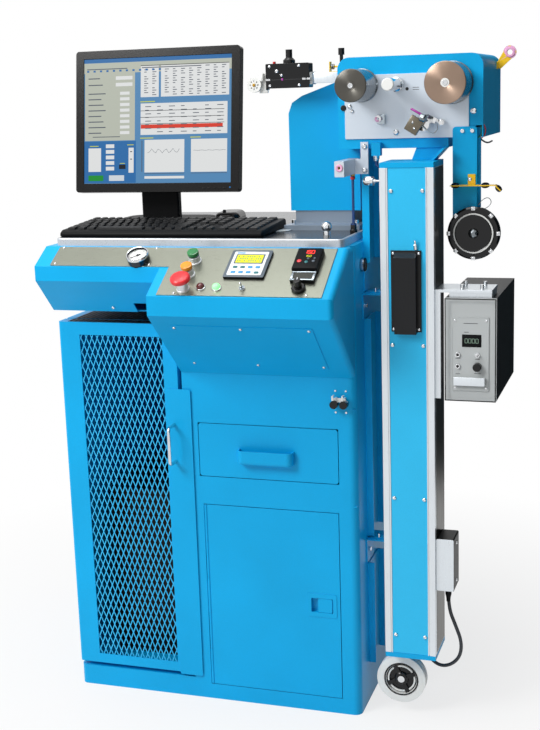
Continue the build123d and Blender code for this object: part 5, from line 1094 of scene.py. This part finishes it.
class TESTER_OT_guides(bpy.types.Operator):
    """Ceramic rings, eyelets and the fittings of the thread path"""
    bl_idname = "tester.guides"
    bl_label = "Thread guides"

    def execute(self, context):
        piece("ring_guide_ceramic", "oxide_ceramic_pink",
              turned([(6.2, -3.2), (9.4, -3.4), (11.2, -2), (11.2, 2), (9.4, 3.4), (6.2, 3.2),
                      (5.9, 0), (6.2, -3.2)], (651, 0, 1498), OUT, 44))
        piece("block_eye_ceramic", "oxide_ceramic_pink",
              turned([(2.6, -1.5), (7.9, -1.5), (8.0, 1.6), (6.5, 2.6), (3.2, 1.8), (2.6, 0),
                      (2.6, -1.5)], (333.5, -310, 1265), OUT, 40))
        eyelets = [turned([(2.6, -3.8), (7.0, -3.8), (8.7, -2.4), (6.6, 0), (8.7, 2.4),
                           (7.0, 3.8), (2.6, 3.8), (2.4, 0), (2.6, -3.8)], (x, -226, 1220),
                          (0, -0.35, 1), 32) for x in (566, 630)]
        piece("strip_eyelets", "phenolic_black", *eyelets,
              turned([(3, -3.4), (7, -3.4), (7.8, 0), (7, 3.4), (3, 3.4), (3, -3.4)],
                     (658, -226, 1213), (0.7, -0.3, 0.6), 28))
        piece("guide_screws", "chromium_plate", screw((599, -239, 1234), OUT, 4.4, 3),
              screw((349, -212, 1268), OUT, 3, 1),
              *(screw((366, -214, z), OUT, 6.2, 4) for z in (1254, 1305)))
        for name, material, profile, centre, way, segments in (
                ("hose_nut", "brass_fitting", [(0, 0), (5.6, 0), (5.6, 5), (4.8, 6), (0, 6)],
                 (333, -192, 1246), DOWN, 6),
                ("hose_release", "release_ring_red",
                 [(0, 0), (5.2, 0), (5.6, 2), (5.2, 6), (3.2, 6.5), (0, 6.5)],
                 (333, -192, 1239), DOWN, 28),
                ("hose_foot", "phenolic_black",
                 [(0, 0), (8.5, 0), (8.5, 5), (6.8, 7), (6.8, 16), (5, 20), (0, 20)],
                 (333, -192, 1116.3), UP, 30),
                ("jet_ring", "chromium_plate", [(0, 0), (7.2, 0), (7.2, 6), (6.2, 8), (0, 8)],
                 (392, -214, 1285), DOWN, 28)):
            piece(name, material, turned(profile, centre, way, segments))
        return {"FINISHED"}


class TESTER_OT_pretension(bpy.types.Operator):
    """Pretension unit: screws and clips, bar, collar and the bracket of its pulley"""
    bl_idname = "tester.pretension"
    bl_label = "Pretension unit"

    def execute(self, context):
        y = BOX_FRONT
        screws = [screw((x, y, z), OUT, 3.4, 2.2) for x in (139, 208) for z in (1441, 1483)]
        screws += [screw((156, y, 1472), OUT, 4.4, 2.6), screw((167, y, 1463), OUT, 3.4, 2.2)]
        clips = [bar(x, (y - 3, y), (1452, 1456)) for x in ((216, 224), (226, 234), (131, 141))]
        piece("pretension_screws", "chromium_plate", *screws, *clips)
        piece("pretension_slot", "printing_black",
              bar((130, 228), (y - 0.4, y), (1453.2, 1454.6)))
        piece("pretension_dot", "oxide_ceramic_violet", disc((169, y, 1454), OUT, 2.6, 2.4, 20),
              bevel=0.5, slot="red_plastic")
        piece("pretension_bar", "anodised_aluminium",
              bar((238, 306), (-160.5, -139.5), (1443.5, 1466.5)), bevel=0.6)
        piece("pretension_collar", "stove_enamel_grey",
              bar((230.6, 238.4), (-163.5, -136.5), (1442, 1468)),
              *(bar((231.5 + 1.8 * i, 232.3 + 1.8 * i), (-164.2, -136), (1441.5, 1468.5))
                for i in range(4)))
        piece("pulley_bracket", "acetal_white",
              bar((109.6, 130.2), (-152.6, -147.4), (1425.6, 1470.4)),
              bar((93.6, 113), (-152.6, -147.4), (1437.4, 1450.6)),
              turned([(0, 0), (5, 0), (5, 16), (3.6, 18), (0, 18)], (118, -156, 1452), UP, 24),
              bevel=1.0)
        piece("guide_pulley_hub", "brass_fitting",
              turned([(0, 1), (2.6, 1), (3.4, 0), (3.4, -1), (0, -1)], (100, -162.6, 1444), OUT,
                     20), body="guide_pulley")
        piece("pretension_pin", "release_ring_red", disc((146, -150, 1489), UP, 3.5, 5, 20),
              bevel=0.6)
        return {"FINISHED"}


class TESTER_OT_column(bpy.types.Operator):
    """Flank skin, cover screws, and the gasket, screws and catch of the heat shield"""
    bl_idname = "tester.column"
    bl_label = "Column"

    def execute(self, context):
        y = COVER_FRONT
        piece("column_side_skin", "dark_flank_sheet",
              bar((535.0, 535.4), (-292, -196), (175, 1262)))
        piece("cover_screws", "chromium_plate", *(
            screw((x, y, z), OUT, 4.6, 2.8) for z in (217, 541, 886, 1216) for x in (444, 511)))
        piece("shield_gasket", "printing_black", bar((452, 499), (y - 3.6, y - 3), (920, 1087)),
              slot="black_metal")
        piece("shield_screws", "chromium_plate", *(
            screw((x, y - 3, z), OUT, 3.2, 2.4) for z in (922, 1085) for x in (448, 503)))
        piece("shield_catch", "chromium_plate",
              turned([(0, 0), (4, 0), (4, 10), (2.4, 12), (2.4, 20), (0, 21)],
                     (496, y - 1, 1094), (0, -0.35, 1), 20))
        return {"FINISHED"}


class TESTER_OT_return_pulley(bpy.types.Operator):
    """Hub of the return pulley: dark disc and rim, pale hoop, four spokes and the axle"""
    bl_idname = "tester.return_pulley"
    bl_label = "Return pulley"

    def execute(self, context):
        body = "return_pulley"
        piece("return_pulley_ring", "lacquer_black",
              turned([(37, 1.2), (40, 1.2), (40.4, 0.2), (37, 0)], PULLEY_AT, OUT, 56),
              turned([(0, -6.4), (34.5, -6.4), (35.4, -6.8), (35.4, -7.6), (0, -7.6)], PULLEY_AT,
                     OUT, 56), body=body)
        piece("return_pulley_hoop", "acetal_white",
              turned([(29, -6.6), (29, -3.2), (32.6, -3.2), (32.6, -6.6), (29, -6.6)],
                     PULLEY_AT, OUT, 56), body=body)
        spokes = [bar((11, 36), (1.5, 8), (-5.2, 5.2), at(*PULLEY_AT) @ spin(65 + 90 * i, "Y"))
                  for i in range(4)]
        piece("return_pulley_spokes", "lacquer_black", *spokes,
              turned([(8.6, 1.2), (12, 0.8), (15, -1), (17, -4), (17, -7), (8.6, -7),
                      (8.6, 1.2)], PULLEY_AT, OUT, 40), body=body, bevel=0.8)
        piece("return_pulley_axle", "chromium_plate",
              turned([(0, 2.6), (5, 2.4), (8, 1.4), (8.4, 0), (8.4, -7), (0, -7)], PULLEY_AT,
                     OUT, 32), body=body)
        return {"FINISHED"}


class TESTER_OT_control_box(bpy.types.Operator):
    """Front plate and side screws of the control box"""
    bl_idname = "tester.control_box"
    bl_label = "Control box"

    def execute(self, context):
        piece("control_box_front", "anodised_aluminium",
              front_bar((535.5, 574.5), (-301.4, -299.6), (328.6, 449.4), 3))
        piece("control_box_screws", "chromium_plate", *(
            screw((575, -268, z), RIGHT, 4, 2.4) for z in (345, 433)))
        return {"FINISHED"}


class TESTER_OT_amplifier(bpy.types.Operator):
    """Front of the amplifier: inner frame, readout, sockets, marks, pull strip and edge"""
    bl_idname = "tester.amplifier"
    bl_label = "Amplifier"

    def execute(self, context):
        y = METER_FRONT
        piece("amplifier_rim", "stove_enamel_grey", *(
            bar(x, (y - 1.9, y), z)
            for x, z in (((572, 650), (948, 949)), ((572, 650), (789, 790)),
                         ((572, 573), (790, 948)), ((649, 650), (790, 948)))), bevel=0.3)
        piece("readout_frame", "moulded_abs_black",
              bar((593, 634), (y - 2.4, y + 0.6), (885, 912)), bevel=0.8)
        piece("readout_digits", "liquid_crystal_grey", *(
            figure("0", (602 + i * 7.6, 0), 9, 0, at(0, y - 2.5, 898.5) @ FRONT, 1.2)
            for i in range(4)))
        sockets = [turned([(2.6, 0.6), (3.2, 3.4), (5.2, 3.4), (6.2, 0), (2.6, 0)],
                          (584, y - 1.5, z), OUT, 28) for z in (868, 843)]
        sockets.append(turned([(2.8, 3), (5.4, 3), (5.4, 0), (2.8, 0), (2.8, 3)],
                              (626, y - 1.5, 868), OUT, 6))
        screws = [screw((x, y - 1.5, z), OUT, 2.4, 1.2)
                  for x, z in ((578, 942), (644, 942), (578, 796), (644, 796))]
        piece("amplifier_sockets", "chromium_plate", *sockets, *screws)
        bores = [disc((584, y - 1.4, z), OUT, 2.5, 1, 20) for z in (868, 843)]
        marks = [bar((x, x + wide), (y - 1.7, y - 1.5), (z - 0.5, z + 0.5))
                 for x, z, wide in ((579, 860, 10), (621, 859, 10), (619, 828, 14),
                                    (597, 917, 10), (596, 936, 30), (579, 826, 10))]
        piece("amplifier_marks", "printing_black", *bores, *marks)
        piece("pull_strip", "anodised_aluminium",
              front_bar((576, 642), (y - 10, y - 8.4), (802, 820), 2), bevel=0.4)
        (x0, y0, z0), (x1, _, z1) = ([v / MM for v in c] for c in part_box("amplifier_front"))
        piece("amplifier_edge", "stove_enamel_black", *(
            bar(x, (y0 - 0.5, y0 + 0.6), z)
            for x, z in (((x0, x1), (z1 - 2.2, z1)), ((x0, x1), (z0, z0 + 2.2)),
                         ((x0, x0 + 2.2), (z0, z1)), ((x1 - 2.2, x1), (z0, z1)))))
        return {"FINISHED"}


class TESTER_OT_pin_wheel(bpy.types.Operator):
    """Ring, clips and hub of the pin wheel"""
    bl_idname = "tester.pin_wheel"
    bl_label = "Pin wheel"

    def execute(self, context):
        centre = (WHEEL_X, WHEEL_FRONT, WHEEL_Z)
        piece("pin_wheel_ring", "acetal_white",
              turned([(39.8, 0.2), (40.3, 1.3), (42.5, 1.3), (43.2, 0.2), (43.2, -1.5),
                      (39.8, -1.5), (39.8, 0.2)], centre, OUT, 64), body="pin_wheel")
        clips = []
        for i in range(8):
            angle = math.radians(45 * i)
            x = WHEEL_X + math.cos(angle) * WHEEL_PINS
            z = WHEEL_Z + math.sin(angle) * WHEEL_PINS
            clips.append(bar((-3.4, 4.2), (-5.0, 0.6), (-4.2, 4.2),
                             at(x, WHEEL_FRONT + 2.6, z) @ Matrix.Rotation(-angle, 4, "Y")))
            clips.append(screw((x, WHEEL_FRONT - 2.2, z), OUT, 2.4, 1.2))
        piece("pin_wheel_clips", "chromium_plate", *clips, body="pin_wheel", bevel=0.6)
        piece("pin_wheel_dome", "matt_chrome_shell",
              turned([(0, 6.4), (3, 6.2), (6.6, 4.6), (9, 2), (10, -1), (0, -1)], centre, OUT,
                     40), body="pin_wheel")
        return {"FINISHED"}


class TESTER_OT_cabinet(bpy.types.Operator):
    """Cabinet fittings: hook tabs, knob rim, screw, and black ribbed plates on the tops of the
    bay and its door, as painted shade of the gap under the console
    """
    bl_idname = "tester.cabinet"
    bl_label = "Cabinet fittings"

    def execute(self, context):
        tabs = []
        for x in (309.5, 332):
            tabs += [bar((x, x + 4), (-326.2, -324.2), (760, 770)),
                     bar((x, x + 4), (-326.2, -313), (769, 771))]
        piece("hook_tabs", "acetal_white", *tabs, bevel=0.6)
        piece("regulator_rim", "polished_aluminium",
              turned([(11.4, 0), (15.6, 0), (16, 1.5), (15.6, 7), (12.4, 8.4), (11.4, 8.4),
                      (11.4, 0)], (359, -229, 1049), RIGHT, 44), body="regulator_knob")
        piece("cabinet_screws", "chromium_plate",
              screw((-200, -330, 958), (0, -0.74, -0.67), 4, 2.4))
        # Black plates with ribs on the tops of the door and the bay: painted shade of the deep
        # gap under the console wing
        for name, body, y in (("door_top_painted_shade", "mesh_door", (-298, -265)),
                              ("bay_top_painted_shade", "cabinet", (-257, -40))):
            ribs = [bar((12 * i - 330, 12 * i - 327.8), (y[0] + 4, y[1] - 4),
                        (BAY_TOP + 0.55, BAY_TOP + 1.55)) for i in range(22)]
            piece(name, "stove_enamel_black", bar((-334, -66), y, (BAY_TOP, BAY_TOP + 0.65)),
                  *ribs, body=body)
        return {"FINISHED"}


class TESTER_OT_wires(bpy.types.Operator):
    """Wires, the loop at the pin wheel, the sensor lead, the dome knob and a round stop"""
    bl_idname = "tester.wires"
    bl_label = "Wires"

    def execute(self, context):
        for name, material, slot, radius, route in (
                ("wire_green", "polycarbonate_green", "green_plastic", 1.3,
                 ((612, -196, 1352), (620, -200, 1336), (616, -198, 1322), (606, -190, 1316))),
                ("wire_red", "release_ring_red", "red_plastic", 1.3,
                 ((614, -192, 1356), (628, -196, 1340), (622, -194, 1318), (606, -188, 1312))),
                ("wire_black", "rubber_cable_black", "cable_rubber", 1.8,
                 ((606, -190, 1324), (618, -192, 1312), (632, -194, 1306), (640, -192, 1312))),
                ("wire_loop", "matt_chrome_shell", "bright_steel", 0.8,
                 ((612, -206, 1176), (618, -204, 1186), (632, -202, 1194), (641, -202, 1184),
                  (634, -204, 1172), (624, -206, 1168))),
                ("sensor_lead", "acetal_white", "white_plastic", 1.1,
                 ((498, -262, 1352), (512, -258, 1336), (524, -240, 1330), (528, -214, 1340),
                  (524, -209, 1350)))):
            wire = line(name, material, route, radius, 3)
            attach(wire, "cabinet")
        piece("dome_knob", "chromium_plate",
              turned([(0, 9.5), (5, 8.4), (8.4, 5.4), (10.3, 0), (10.3, -14), (8, -15.5),
                      (4.5, -15.5), (4.5, -20), (0, -20)], (379, -250, 1233), (-1, 0, 0), 40))
        piece("face_plate_stop", "phenolic_black",
              disc((319, FACE_Y + 3, 1388), OUT, 6.4, 4, 32), bevel=0.6)
        return {"FINISHED"}


class TESTER_PT_panel(bpy.types.Panel):
    """Lists the pieces in the sidebar"""
    bl_idname = "TESTER_PT_panel"
    bl_label = "Draw force tester"
    bl_space_type = "VIEW_3D"
    bl_region_type = "UI"
    bl_category = "Tester"

    def draw(self, context):
        for kind in OPERATORS:
            self.layout.operator(kind.bl_idname)
        for group in (context.scene.tester_colours, context.scene.tester_sizes):
            for name in group.bl_rna.properties.keys():
                if name not in ("rna_type", "name"):
                    self.layout.prop(group, name)


OPERATORS = (TESTER_OT_stage, TESTER_OT_finishes, TESTER_OT_cable, TESTER_OT_keyboard,
             TESTER_OT_screen, TESTER_OT_worktop, TESTER_OT_gauge, TESTER_OT_display,
             TESTER_OT_controller, TESTER_OT_buttons, TESTER_OT_rollers, TESTER_OT_head,
             TESTER_OT_guides, TESTER_OT_pretension, TESTER_OT_column, TESTER_OT_return_pulley,
             TESTER_OT_control_box, TESTER_OT_amplifier, TESTER_OT_pin_wheel,
             TESTER_OT_cabinet, TESTER_OT_wires)
CLASSES = (TesterColours, TesterSizes) + OPERATORS + (TESTER_PT_panel,)


def register():
    for kind in CLASSES:
        bpy.utils.register_class(kind)
    bpy.types.Scene.tester_colours = bpy.props.PointerProperty(type=TesterColours)
    bpy.types.Scene.tester_sizes = bpy.props.PointerProperty(type=TesterSizes)


def unregister():
    del bpy.types.Scene.tester_sizes
    del bpy.types.Scene.tester_colours
    for kind in reversed(CLASSES):
        bpy.utils.unregister_class(kind)


def main():
    register()
    for kind in OPERATORS:
        group, name = kind.bl_idname.split(".")
        getattr(getattr(bpy.ops, group), name)()


if __name__ == "__main__":
    main()
